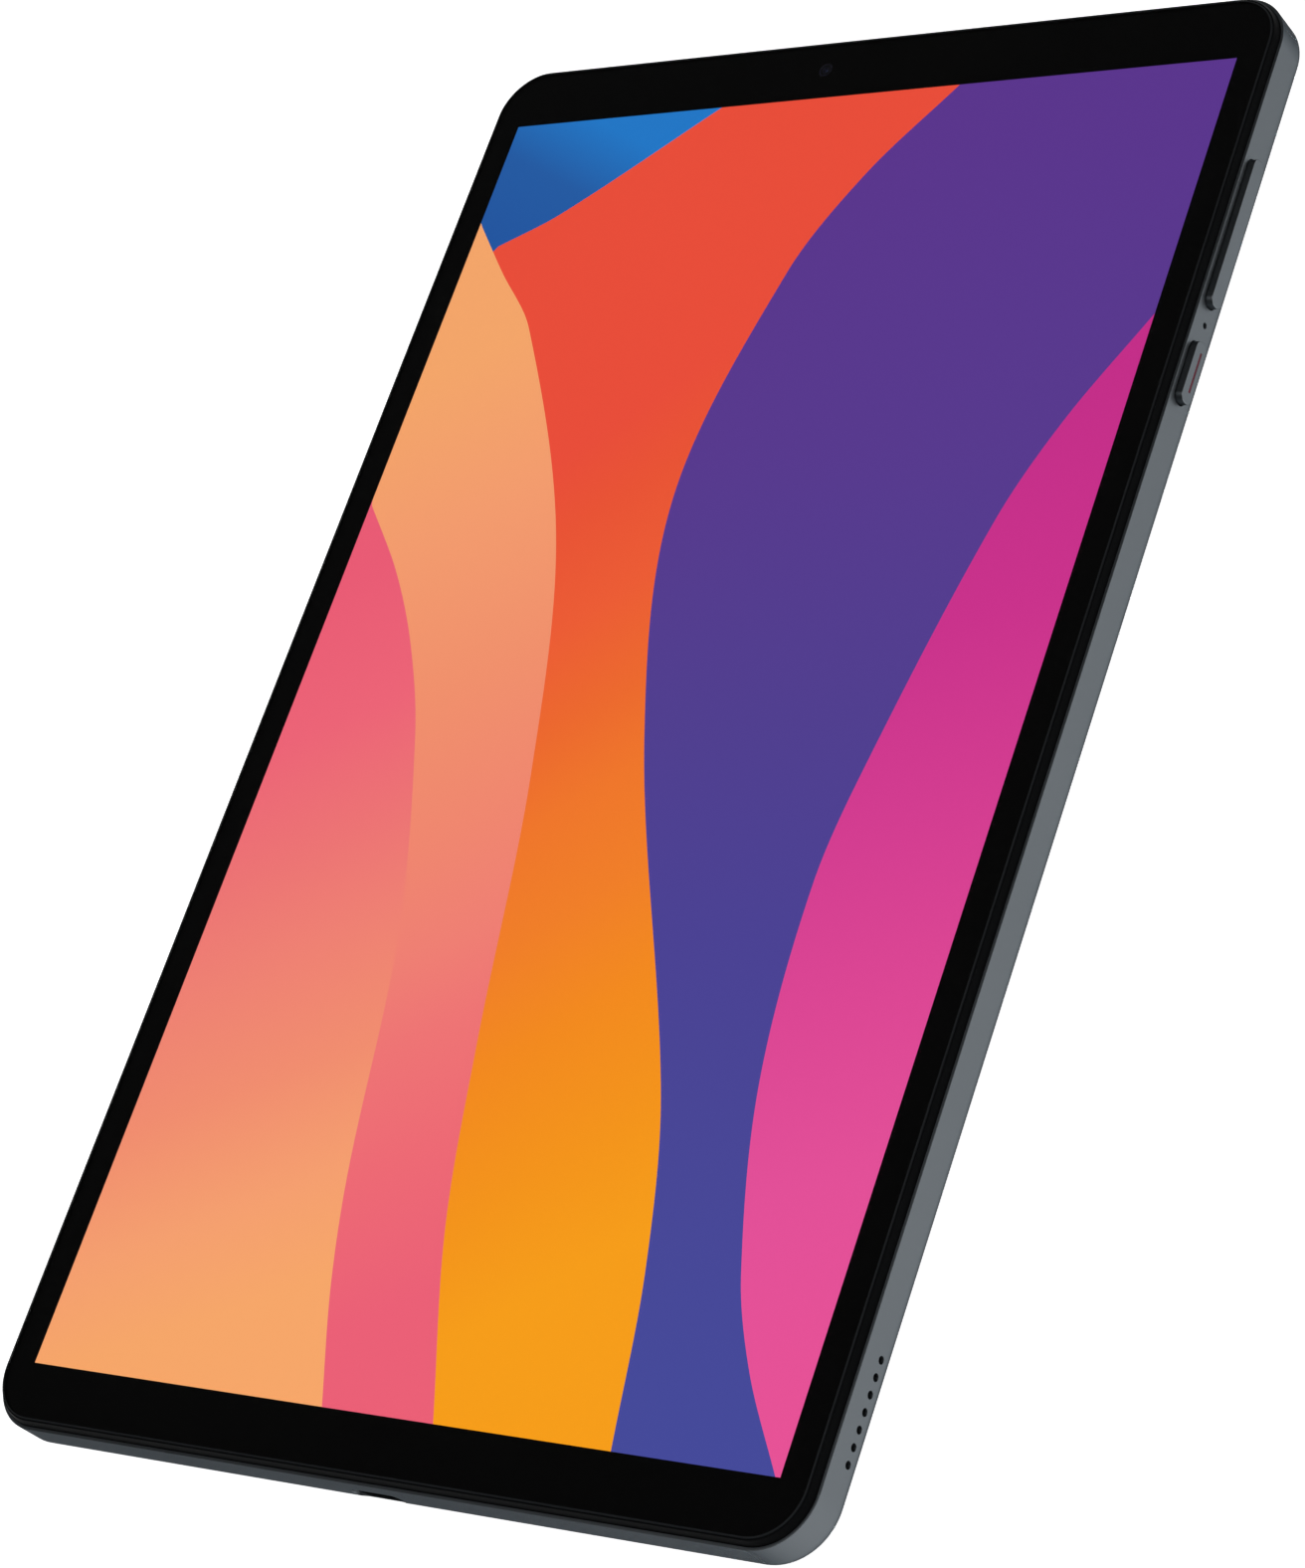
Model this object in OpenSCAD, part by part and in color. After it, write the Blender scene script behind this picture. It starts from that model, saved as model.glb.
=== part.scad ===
// Tablet computer with an all-metal rear housing, lying flat with its screen up.
// +X is the side with the keys, +Y is the end with the front camera, +Z leaves the screen.
// The origin is the middle of the flat back.

/* [Body] */
// Width of the body across its short side
body_w = 151; // [150:0.5:153]
// Length of the body along its long side
body_l = 243.2; // [243:0.2:246]
// Thickness from the back to the top of the glass
body_t = 8.1; // [8.1:0.05:8.5]
// Radius of the outer corners, seen from the front
corner_r = 9; // [8:0.5:10]
// Radius of the rounded rear edge
rear_edge_r = 1.8; // [1.2:0.1:2]
// Thickness of the back plate
floor_t = 0.9; // [0.8:0.05:0.9]
// Thickness of the side walls
wall_t = 1.3; // [1.2:0.05:1.4]
// Height of the metal rim above the back
rim_z = 6.7; // [6.6:0.05:6.8]

/* [Front] */
// Width of the metal rim that shows round the black frame
rim_w = 0.47; // [0.4:0.01:0.6]
// Distance from the body's side to the edge of the glass
glass_inset = 1.15; // [1.1:0.05:1.5]
// Thickness of the cover glass
glass_t = 0.7; // [0.6:0.05:0.75]
// Width of the lit screen
screen_w = 138.6; // [136:0.2:139]
// Length of the lit screen
screen_l = 221.8; // [218:0.2:222]
// Distance of the screen's middle below the body's middle
screen_drop = 0.8; // [0:0.1:1]
// Place of the front camera along X and Y
front_camera_at = [-7.7, 115.6]; // [-60:0.1:60]

/* [Keys] */
// Length of the volume key
volume_key_l = 25; // [20:0.5:26]
// Place of the middle of the volume key along the side
volume_key_y = 81; // [80:0.2:82]
// Length of the power key
power_key_l = 10; // [9:0.1:11]
// Place of the middle of the power key along the side
power_key_y = 57.4; // [56:0.1:58]
// Height of both keys
key_h = 2.8; // [2.4:0.1:2.8]
// Height of the keys' middle above the back
key_z = 4.24; // [4.1:0.02:4.3]
// How far the keys stand out of the side
key_stand = 1.1; // [0.5:0.1:1.2]
// How far the power key can be pressed in
key_travel = 0.3; // [0.1:0.05:0.3]

/* [Ports] */
// Width of the USB-C opening in the housing
usb_open_w = 9.3; // [9.2:0.1:9.6]
// Height of the USB-C opening in the housing
usb_open_h = 3.2; // [3.1:0.05:3.3]
// Height of the USB-C port's middle above the back
usb_z = 2.42; // [2.4:0.01:2.5]
// Number of speaker holes on each side
speaker_holes = 7; // [5:1:7]
// Distance between neighbouring speaker holes
speaker_pitch = 2.42; // [2.2:0.02:2.5]
// Radius of a speaker hole
speaker_hole_r = 0.58; // [0.4:0.01:0.6]
// Radius of the headphone bore
headphone_r = 1.78; // [1.76:0.01:1.8]

/* [Hidden] */
$fn = 48;

// Half sizes of the body and of its inner space
half_w = body_w / 2;
half_l = body_l / 2;
inner_x = half_w - wall_t;
inner_y = half_l - wall_t;
// Air or glue line between pieces that are stacked on each other
gap = 0.02;
// Extra depth that lets a cutter pass right through a wall
pass = 1;

// Layers of the display, from the glass down to the middle frame
film_t = 0.05;
lcd_t = 1.06;
backlight_t = 1.07;
shield_t = 0.17;
mid_t = 0.55;
glass_z = body_t - glass_t;
film_z = glass_z - gap - film_t;
lcd_z = film_z - gap - lcd_t;
backlight_z = lcd_z - gap - backlight_t;
shield_z = backlight_z - gap - shield_t;
mid_z = shield_z - 0.1 - mid_t;
// The panel reaches past the lit screen: on both sides, at the top, and at its driver edge
panel_side = 1.5;
panel_top = 1.6;
panel_foot = 3.3;
panel_x = screen_w / 2 + panel_side;
panel_y1 = screen_l / 2 - screen_drop + panel_top;
panel_y0 = -screen_l / 2 - screen_drop - panel_foot;

// Black front frame: skirt in the housing's rebate, sloping side, and ledge for the glass
rebate_z = 6;
frame_fit = 0.03;
frame_top_z = body_t - 0.12;
frame_lip_w = 0.15;
frame_skirt_w = 1.1;
ledge_w = 2.3;
ledge_t = 0.62;
ledge_z = film_z - 0.07 - ledge_t;
glue_w = 1.6;

// Screws through the middle frame into bosses on the back plate
frame_screw_at = [[50, -112], [-50, -112], [57, 63.5], [-57, 63.5], [25, 109.5], [-25, 109.5]];
boss_r = 1.9;
boss_hole_r = 0.65;
screw_r = 0.6;
screw_head_r = 1.5;
screw_head_t = 0.32;
boss_hole_z = 1.3;

// Mainboard, on low bosses behind the top third of the screen
board_z = 1.75;
board_t = 0.8;
board_top = board_z + board_t;
board_outline = [[-72, 67], [66, 67], [66, 100], [50, 100], [50, 106], [-50, 106], [-50, 100], [-72, 100]];
board_screw_at = [[-66, 71], [60, 71], [45, 102], [-45, 102], [22, 70]];
board_boss_r = 1.7;
board_screw_hole_r = 0.8;
board_screw_head_r = 1.3;
board_screw_head_t = 0.4;

// Sheet metal cans on the mainboard: lower corner and size in plan
can_h = 1.35;
can_t = 0.15;
processor_can = [[-20, 73], [40, 27]];
radio_can = [[27, 75], [26, 22]];
power_can = [[-48, 73], [22, 22]];

// Battery: two cells side by side, with a gap for the link between the boards
cell_x0 = 4;
cell_w = 65.5;
cell_y0 = -86;
cell_l = 143;
cell_z = 1.05;
cell_t = 2.65;
cell_r = 2;
battery_board_size = [80, 3.4, 0.8];
battery_board_z = 1.65;
battery_flex_size = [16, 11, 0.14];
flex_t = 0.14;
link_flex_w = 6;

// USB-C receptacle and the small board that carries it
usb_shell_w = 8.94;
usb_shell_h = 2.9;
usb_shell_l = 7.3;
usb_mouth_w = 8.34;
usb_mouth_h = 2.56;
usb_back_t = 0.9;
usb_set_back = 0.5;
usb_y = -half_l + usb_set_back;
usb_board_size = [60, 12.3, 0.6];
usb_board_z = 1.7;
tongue_size = [6.69, 4.45, 0.7];

// Loudspeakers behind the lower ends of both long sides
speaker_y = -100.1;
speaker_z = 2.95;
speaker_size = [11.4, 23, 3];
speaker_box_z = 1;
mesh_size = [0.3, 18, 1.9];

// Keys: the plate inside the wall, and the stubs that press the dome switches
key_corner_r = 1.2;
key_clear = 0.12;
key_plate_x = inner_x - 0.75;
key_plate_t = 0.6;
key_plate_h = 3.1;
power_plate_l = 12.4;
volume_plate_l = 7;
stub_t = 0.3;
stub_size = [1.6, 1.4];
stub_reach = 8.5;
rocker_r = 0.35;
rocker_h = 2;
dome_x = key_plate_x - stub_t - key_travel - 0.08;
dome_size = [0.6, 3, 2.4];
key_flex_size = [0.12, 43, 2.6];
key_bracket_size = [0.6, 44, 2.8];
key_strip_y = 72;
dome_at = [power_key_y, volume_key_y - stub_reach, volume_key_y + stub_reach];
inlay_size = [0.24, 6.6, 0.34];
inlay_y = power_key_y + 0.1;
inlay_z = key_z - 0.2;
inlay_fit = 0.02;

// Side microphone, between the two keys
mic_y = 65.7;
mic_z = 3.76;
mic_hole_r = 0.48;
mic_size = [0.9, 2.4, 1.7];
mic_gasket_r = 0.85;

// Memory card tray in the other long side, and its socket
tray_y = 86;
tray_z = 3.4;
tray_head_l = 14.4;
tray_head_h = 2.2;
tray_head_r = 1;
tray_head_t = 1.3;
tray_fit = 0.12;
tray_body = [18, 13, 0.7];
tray_pocket = [14.8, 11.1];
tray_pin_r = 0.4;
tray_pin_y = 5.9;
seal_wall = 0.25;
seal_t = 0.5;
socket_size = [18.9, 15.6, 1.62];
socket_wall = 0.25;
socket_back_t = 0.6;
socket_x = -inner_x + 0.8;

// Headphone socket in the camera end
headphone_x = -55;
headphone_z = 2.9;
headphone_body = [6, 13.2, 3.9];
headphone_depth = 12.2;
headphone_relief = 0.3;

// Front camera under the glass
front_camera_size = [5.2, 4.7, 2.2];
front_lens_r = 1.15;
front_window_r = 1.35;
front_lens_t = 0.5;

// Rear camera and flash, flush in the back
rear_camera_at = [60, 107];
rear_camera_size = [8.8, 8.8, 3.1];
rear_ring_r = 4.6;
rear_window_r = 3.4;
rear_set_back = 0.06;
flash_at = [60, 95];
flash_r = 1.6;
led_size = [2, 2, 0.7];

// Aerial carriers along the camera end: left end and width along X
wifi_span = [30, 20];
gps_span = [-45, 18];
aerial_y = 113.6;
aerial_size = [5.8, 2.9];

// Rectangle with round corners
module round_plan(w, l, r) {
    square([w - 2 * r, l], center = true);
    square([w, l - 2 * r], center = true);
    for (sx = [-1, 1], sy = [-1, 1])
        translate([sx * (w / 2 - r), sy * (l / 2 - r)]) circle(r);
}

// Flat plate with round corners
module round_plate(w, l, r, z, t) {
    translate([0, 0, z]) linear_extrude(t) round_plan(w, l, r);
}

// A plane section swept round the body's outline; the section starts at the corners' centres
module swept_rim() {
    for (k = [0:3]) {
        across = (k % 2 == 0 ? half_w : half_l) - corner_r;
        along = (k % 2 == 0 ? half_l : half_w) - corner_r;
        rotate([0, 0, 90 * k]) translate([across, along, 0]) {
            rotate_extrude(angle = 90) children();
            rotate([90, 0, 0]) linear_extrude(2 * along) children();
        }
    }
}

// Plane shape in Y and Z, carried along +X from x0
module along_x(x0, t) {
    translate([x0, 0, 0]) rotate([90, 0, 90]) linear_extrude(t) children();
}

// Plane shape in X and Z, carried along +Y from y0
module along_y(y0, t) {
    translate([0, y0 + t, 0]) rotate([90, 0, 0]) linear_extrude(t) children();
}

// Box from a lower corner in plan, a height and a size
module block(at, z, size) {
    translate([at[0], at[1], z]) cube(size);
}

// Box centred on a place in plan, standing on height z
module block_on(at, z, size) {
    translate([at[0] - size[0] / 2, at[1] - size[1] / 2, z]) cube(size);
}

// Section of the housing: back plate, rounded rear edge, wall and rebate for the front frame
module housing_section() {
    edge_u = corner_r - rear_edge_r;
    difference() {
        union() {
            square([edge_u, rear_edge_r]);
            translate([0, rear_edge_r]) square([corner_r, rim_z - rear_edge_r]);
            translate([edge_u, rear_edge_r]) intersection() {
                circle(rear_edge_r);
                translate([0, -rear_edge_r]) square(rear_edge_r);
            }
        }
        translate([-pass, floor_t]) square([corner_r - wall_t + pass, rim_z]);
        translate([-pass, rebate_z]) square([corner_r - rim_w + pass, rim_z]);
    }
}

// Openings of the long side with the keys
module key_side_openings() {
    along_x(inner_x - pass, wall_t + 2 * pass) {
        translate([volume_key_y, key_z])
            round_plan(volume_key_l + 2 * key_clear, key_h + 2 * key_clear, key_corner_r);
        translate([power_key_y, key_z])
            round_plan(power_key_l + 2 * key_clear, key_h + 2 * key_clear, key_corner_r);
        translate([mic_y, mic_z]) circle(mic_hole_r);
    }
}

// One row of speaker holes, in the wall that starts at x0
module speaker_row(x0) {
    for (i = [0:speaker_holes - 1])
        along_x(x0 - pass, wall_t + 2 * pass)
            translate([speaker_y + (i - (speaker_holes - 1) / 2) * speaker_pitch, speaker_z])
                circle(speaker_hole_r);
}

// Slot of the card tray
module tray_slot() {
    along_x(-half_w - pass, wall_t + 2 * pass)
        translate([tray_y, tray_z])
            round_plan(tray_head_l + 2 * tray_fit, tray_head_h + 2 * tray_fit, tray_head_r);
}

// Mouths of the ports in the two short sides
module end_openings() {
    along_y(-half_l - pass, wall_t + 2 * pass)
        translate([0, usb_z]) stadium(usb_open_w, usb_open_h);
    along_y(inner_y - pass, wall_t + 2 * pass)
        translate([headphone_x, headphone_z]) circle(headphone_r + headphone_relief);
}

// Slot shape with half-round ends
module stadium(w, h) {
    square([w - h, h], center = true);
    for (s = [-1, 1])
        translate([s * (w - h) / 2, 0]) circle(h / 2);
}

// Machined metal tray: back, walls, bosses and every opening
module rear_housing() {
    color("slategray") difference() {
        union() {
            swept_rim() housing_section();
            block_on([0, 0], 0, [body_w - 2 * corner_r, body_l - 2 * corner_r, floor_t]);
            for (p = frame_screw_at)
                translate([p[0], p[1], floor_t / 2]) cylinder(r = boss_r, h = mid_z - gap - floor_t / 2);
            for (p = board_screw_at)
                translate([p[0], p[1], floor_t / 2]) cylinder(r = board_boss_r, h = board_z - gap - floor_t / 2);
        }
        for (p = frame_screw_at)
            translate([p[0], p[1], boss_hole_z - 0.1]) cylinder(r = boss_hole_r, h = mid_z);
        for (p = board_screw_at)
            translate([p[0], p[1], floor_t / 2]) cylinder(r = boss_hole_r, h = board_z);
        key_side_openings();
        speaker_row(inner_x);
        speaker_row(-half_w);
        tray_slot();
        end_openings();
        translate([rear_camera_at[0], rear_camera_at[1], -pass])
            cylinder(r = rear_ring_r + gap, h = floor_t + 2 * pass);
        translate([flash_at[0], flash_at[1], -pass])
            cylinder(r = flash_r + gap, h = floor_t + 2 * pass);
    }
}

// Section of the front frame, from the rebate up to the glass
module frame_section() {
    side_u = corner_r - rim_w - frame_fit;
    lip_u = corner_r - glass_inset + gap;
    polygon([
        [side_u, rebate_z + gap],
        [side_u, rim_z + gap],
        [lip_u + frame_lip_w, frame_top_z],
        [lip_u, frame_top_z],
        [lip_u, ledge_z + ledge_t],
        [lip_u - ledge_w, ledge_z + ledge_t],
        [lip_u - ledge_w, ledge_z],
        [side_u - frame_skirt_w, ledge_z],
        [side_u - frame_skirt_w, rebate_z + gap]
    ]);
}

// Black plastic frame between the housing and the glass
module front_frame() {
    color([0.07, 0.07, 0.08]) swept_rim() frame_section();
}

// Cover glass over the whole front
module cover_glass() {
    color([0.05, 0.05, 0.06, 0.6])
        round_plate(body_w - 2 * glass_inset, body_l - 2 * glass_inset, corner_r - glass_inset, glass_z, glass_t);
}

// Black border layer behind the glass, with a window for the screen and one for the camera
module printed_border() {
    inset = glass_inset + 0.2;
    color([0.02, 0.02, 0.02]) difference() {
        round_plate(body_w - 2 * inset, body_l - 2 * inset, corner_r - inset, film_z, film_t);
        block_on([0, -screen_drop], film_z - pass, [screen_w, screen_l, film_t + 2 * pass]);
        translate([front_camera_at[0], front_camera_at[1], film_z - pass])
            cylinder(r = front_window_r, h = film_t + 2 * pass);
    }
}

// Glue line between the border layer and the frame's ledge
module glass_adhesive() {
    outer_u = corner_r - glass_inset - 0.3;
    color("gray") swept_rim()
        translate([outer_u - glue_w, ledge_z + ledge_t + 0.01]) square([glue_w, 0.05]);
}

// Glass sandwich that forms the picture
module lcd_panel() {
    color("midnightblue")
        block([-panel_x, panel_y0], lcd_z, [2 * panel_x, panel_y1 - panel_y0, lcd_t]);
}

// Light guide and films behind the picture
module backlight_unit() {
    color("white")
        block([-panel_x, panel_y0 + 1], backlight_z, [2 * panel_x, panel_y1 - panel_y0 - 1, backlight_t]);
}

// Steel sheet behind the backlight
module display_shield() {
    color("silver")
        block([-panel_x, panel_y0 + 1], shield_z, [2 * panel_x, panel_y1 - panel_y0 - 1, shield_t]);
}

// Flexible circuit from the panel's driver edge, folded back under the middle frame
module display_flex() {
    fold_y = panel_y0 - 0.9;
    flex_x = 24;
    flex_w = 20;
    tail_l = 12;
    tail_z = mid_z - 0.3;
    color("darkorange") {
        block([flex_x, fold_y], lcd_z + 0.3, [flex_w, 0.85, flex_t]);
        block([flex_x, fold_y - flex_t], tail_z, [flex_w, flex_t, lcd_z + 0.3 + flex_t - tail_z]);
        block([flex_x, fold_y], tail_z, [flex_w, tail_l, flex_t]);
    }
}

// Stiff plate that carries the display over the battery and boards
module mid_frame() {
    clear = 0.3;
    color("lightgray") difference() {
        block([-panel_x, panel_y0 + 0.2], mid_z, [2 * panel_x, panel_y1 - panel_y0 - 0.2, mid_t]);
        for (p = frame_screw_at)
            translate([p[0], p[1], mid_z - pass]) cylinder(r = screw_r + 0.15, h = mid_t + 2 * pass);
        for (p = frame_screw_at)
            translate([p[0], p[1], mid_z + mid_t - screw_head_t - 0.03])
                cylinder(r = screw_head_r + 0.1, h = screw_head_t + pass);
        block_on([headphone_x, panel_y1], mid_z - pass,
            [headphone_body[0] + 2 * clear, 14, mid_t + 2 * pass]);
    }
}

// Screws that hold the middle frame
module frame_screws() {
    head_z = mid_z + mid_t - screw_head_t;
    color("silver") for (p = frame_screw_at) translate([p[0], p[1], 0]) {
        translate([0, 0, head_z]) cylinder(r = screw_head_r, h = screw_head_t - gap);
        translate([0, 0, boss_hole_z]) cylinder(r = screw_r, h = head_z - boss_hole_z + 0.1);
    }
}

// Main circuit board
module mainboard() {
    color("darkgreen") difference() {
        translate([0, 0, board_z]) linear_extrude(board_t) polygon(board_outline);
        for (p = board_screw_at)
            translate([p[0], p[1], board_z - pass]) cylinder(r = board_screw_hole_r, h = board_t + 2 * pass);
    }
}

// Thin can that covers a group of chips
module shield_can(plan) {
    at = plan[0];
    size = plan[1];
    difference() {
        block(at, board_top + gap, [size[0], size[1], can_h]);
        block([at[0] + can_t, at[1] + can_t], board_top - pass,
            [size[0] - 2 * can_t, size[1] - 2 * can_t, can_h + pass - can_t]);
    }
}

// Can over the processor and memory
module processor_shield() {
    color("silver") shield_can(processor_can);
}

// Can over the radio chips
module radio_shield() {
    color("silver") shield_can(radio_can);
}

// Can over the power and charging chips
module power_shield() {
    color("silver") shield_can(power_can);
}

// Screws that hold the mainboard
module board_screws() {
    color("silver") for (p = board_screw_at) translate([p[0], p[1], 0]) {
        translate([0, 0, board_top + gap]) cylinder(r = board_screw_head_r, h = board_screw_head_t);
        translate([0, 0, floor_t / 2 + 0.05]) cylinder(r = screw_r, h = board_top - floor_t / 2);
    }
}

// One battery cell, on the side of sign s
module battery_cell(s) {
    color("dimgray") translate([s * (cell_x0 + cell_w / 2), cell_y0 + cell_l / 2, cell_z])
        linear_extrude(cell_t) round_plan(cell_w, cell_l, cell_r);
}

// Battery cell on the side of the card tray
module battery_cell_left() {
    battery_cell(-1);
}

// Battery cell on the side of the keys
module battery_cell_right() {
    battery_cell(1);
}

// Protection circuit on the cells' upper edge
module battery_board() {
    color("darkgreen") block_on([0, cell_y0 + cell_l + 2], battery_board_z, battery_board_size);
}

// Flexible lead from the battery to the mainboard
module battery_flex() {
    color("darkorange") block_on([-36, 65.3], board_top + gap, battery_flex_size);
}

// Graphite sheet that spreads heat under the cells
module graphite_sheet() {
    color("black") block_on([0, cell_y0 + cell_l / 2], floor_t + gap, [138, cell_l, 0.08]);
}

// Small board that carries the USB-C receptacle
module usb_board() {
    color("darkgreen") difference() {
        block_on([0, -half_l + 8.2], usb_board_z, usb_board_size);
        block_on([0, usb_y + usb_shell_l / 2], usb_board_z - pass,
            [usb_shell_w + 0.3, usb_shell_l + 1.4, usb_board_size[2] + 2 * pass]);
    }
}

// Metal shell of the USB-C port, closed at its back
module usb_c_receptacle() {
    color("silver") difference() {
        along_y(usb_y, usb_shell_l) translate([0, usb_z]) stadium(usb_shell_w, usb_shell_h);
        along_y(usb_y - pass, usb_shell_l - usb_back_t + pass)
            translate([0, usb_z]) stadium(usb_mouth_w, usb_mouth_h);
    }
}

// Contact tongue inside the port
module usb_c_tongue() {
    color([0.1, 0.1, 0.1])
        block_on([0, usb_y + usb_shell_l - usb_back_t - tongue_size[1] / 2 - gap],
            usb_z - tongue_size[2] / 2, tongue_size);
}

// Flat lead between the two boards, in the gap between the cells
module board_link_flex() {
    color("darkorange") block_on([0, -21], cell_z + 0.3, [link_flex_w, 172, flex_t]);
}

// Loudspeaker box beside a long side
module speaker_box(s) {
    color([0.15, 0.15, 0.15])
        block_on([s * (inner_x - 0.55 - speaker_size[0] / 2), speaker_y], speaker_box_z, speaker_size);
}

// Loudspeaker on the side of the keys
module speaker_right() {
    speaker_box(1);
}

// Loudspeaker on the side of the card tray
module speaker_left() {
    speaker_box(-1);
}

// Dust mesh between a row of holes and its loudspeaker
module speaker_mesh(s) {
    color("black")
        block_on([s * (inner_x - 0.05 - mesh_size[0] / 2), speaker_y], speaker_z - mesh_size[2] / 2, mesh_size);
}

// Dust mesh on the side of the keys
module speaker_mesh_right() {
    speaker_mesh(1);
}

// Dust mesh on the side of the card tray
module speaker_mesh_left() {
    speaker_mesh(-1);
}

// Box in the stack behind the keys, with its outer face at x1
module key_stack(x1, y, z, size) {
    translate([x1 - size[0], y - size[1] / 2, z - size[2] / 2]) cube(size);
}

// Metal strip that backs the key switches
module key_bracket() {
    color("silver")
        key_stack(dome_x - dome_size[0] - key_flex_size[0] - 2 * gap, key_strip_y, key_z, key_bracket_size);
}

// Flexible circuit under the key switches and the microphone
module key_flex() {
    color("darkorange") key_stack(dome_x - dome_size[0] - gap, key_strip_y, key_z, key_flex_size);
}

// One switch behind the power key and two behind the volume key
module dome_switches() {
    color("goldenrod") for (y = dome_at) key_stack(dome_x, y, key_z, dome_size);
}

// Microphone capsule
module side_microphone() {
    mic_x = dome_x - dome_size[0] + mic_size[0];
    color("gold") key_stack(mic_x, mic_y, mic_z, mic_size);
}

// Soft ring that leads sound from the pinhole to the microphone
module microphone_gasket() {
    gasket_x0 = dome_x - dome_size[0] + mic_size[0] + gap;
    color([0.1, 0.1, 0.1]) along_x(gasket_x0, inner_x - gap - gasket_x0)
        translate([mic_y, mic_z]) difference() {
            circle(mic_gasket_r);
            circle(mic_hole_r);
        }
}

// Sheet metal socket that the card tray slides into
module card_socket() {
    z0 = tray_z - socket_size[2] / 2;
    color("silver") difference() {
        block([socket_x, tray_y - socket_size[1] / 2], z0, socket_size);
        block([socket_x - pass, tray_y - socket_size[1] / 2 + socket_wall * 2], z0 + socket_wall,
            [socket_size[0] - socket_back_t + pass, socket_size[1] - socket_wall * 4,
                socket_size[2] - socket_wall * 2]);
    }
}

// Card tray: a head flush with the side, and a frame that holds one card
module card_tray() {
    head_x1 = -half_w + tray_head_t;
    pocket_x = head_x1 + 1.9;
    color("slategray") difference() {
        union() {
            along_x(-half_w, tray_head_t)
                translate([tray_y, tray_z]) round_plan(tray_head_l, tray_head_h, tray_head_r);
            block([head_x1 - 0.2, tray_y - tray_body[1] / 2], tray_z - tray_body[2] / 2,
                [tray_body[0] - 0.4, tray_body[1], tray_body[2]]);
        }
        block([pocket_x, tray_y - tray_pocket[1] / 2], tray_z - 0.15, [tray_pocket[0], tray_pocket[1], 1]);
        block([pocket_x + 1, tray_y - tray_pocket[1] / 2 + 1], tray_z - 1,
            [tray_pocket[0] - 2, tray_pocket[1] - 2, 2]);
        along_x(-half_w - pass, tray_head_t + 2 * pass)
            translate([tray_y + tray_pin_y, tray_z]) circle(tray_pin_r);
    }
}

// Rubber ring round the neck of the card tray
module card_tray_seal() {
    seal_x = -half_w + tray_head_t + gap;
    outer = [tray_body[1] + 2 * seal_wall, tray_body[2] + 2 * seal_wall];
    color([0.1, 0.1, 0.1]) along_x(seal_x, seal_t) translate([tray_y, tray_z]) difference() {
        square(outer, center = true);
        square([tray_body[1] + gap, tray_body[2] + gap], center = true);
    }
}

// Socket for a 3.5 mm plug
module headphone_socket() {
    color([0.12, 0.12, 0.12]) difference() {
        block([headphone_x - headphone_body[0] / 2, inner_y - gap - headphone_body[1]],
            headphone_z - headphone_body[2] / 2, headphone_body);
        along_y(inner_y - headphone_depth, headphone_depth + pass)
            translate([headphone_x, headphone_z]) circle(headphone_r);
    }
}

// Front camera body
module front_camera_module() {
    color([0.1, 0.1, 0.1])
        block_on(front_camera_at, film_z - front_lens_t - 0.05 - front_camera_size[2], front_camera_size);
}

// Front camera lens, just under its window in the border layer
module front_camera_lens() {
    color([0.1, 0.12, 0.25]) translate([front_camera_at[0], front_camera_at[1], film_z - front_lens_t])
        cylinder(r = front_lens_r, h = front_lens_t);
}

// Rear camera body
module rear_camera_module() {
    color([0.1, 0.1, 0.1]) block_on(rear_camera_at, floor_t + 0.05, rear_camera_size);
}

// Metal ring round the rear camera's window
module rear_camera_ring() {
    color("silver") translate([rear_camera_at[0], rear_camera_at[1], rear_set_back]) difference() {
        cylinder(r = rear_ring_r, h = floor_t - rear_set_back);
        translate([0, 0, -pass]) cylinder(r = rear_window_r + gap, h = floor_t + 2 * pass);
    }
}

// Window in front of the rear camera
module rear_camera_window() {
    color([0.05, 0.05, 0.08]) translate([rear_camera_at[0], rear_camera_at[1], 2 * rear_set_back])
        cylinder(r = rear_window_r, h = floor_t - 2 * rear_set_back);
}

// Light source of the flash, under the mainboard
module flash_led() {
    color("khaki") block_on(flash_at, board_z - gap - led_size[2], led_size);
}

// Window of the flash
module flash_window() {
    color("ivory") translate([flash_at[0], flash_at[1], rear_set_back])
        cylinder(r = flash_r, h = floor_t - rear_set_back);
}

// Plastic carrier with an aerial on it
module aerial(span) {
    color([0.85, 0.8, 0.6])
        block([span[0], aerial_y], floor_t + 0.3, [span[1], aerial_size[0], aerial_size[1]]);
}

// Aerial for the local network
module wifi_antenna() {
    aerial(wifi_span);
}

// Aerial for satellite positioning
module gps_antenna() {
    aerial(gps_span);
}

// Key body of length l: cap in the wall, plate of length plate_l behind it
module key_body(y, l, plate_l) {
    cap_x = key_plate_x + key_plate_t - 0.1;
    along_x(cap_x, half_w + key_stand - cap_x) translate([y, key_z]) round_plan(l, key_h, key_corner_r);
    key_stack(key_plate_x + key_plate_t, y, key_z, [key_plate_t, plate_l, key_plate_h]);
}

// Stub that presses one dome switch
module key_stub(y) {
    key_stack(key_plate_x + 0.1, y, key_z, [stub_t + 0.1, stub_size[0], stub_size[1]]);
}

// Volume key, which rocks on its middle
module volume_key() {
    color("slategray") {
        key_body(volume_key_y, volume_key_l, volume_plate_l);
        translate([key_plate_x, volume_key_y, key_z - rocker_h / 2]) cylinder(r = rocker_r, h = rocker_h);
        for (s = [-1, 1]) {
            y = volume_key_y + s * stub_reach;
            key_stack(key_plate_x + key_plate_t + 0.1, y, key_z,
                [stub_t + key_plate_t + 0.1, stub_size[0], stub_size[1]]);
        }
    }
}

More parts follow.
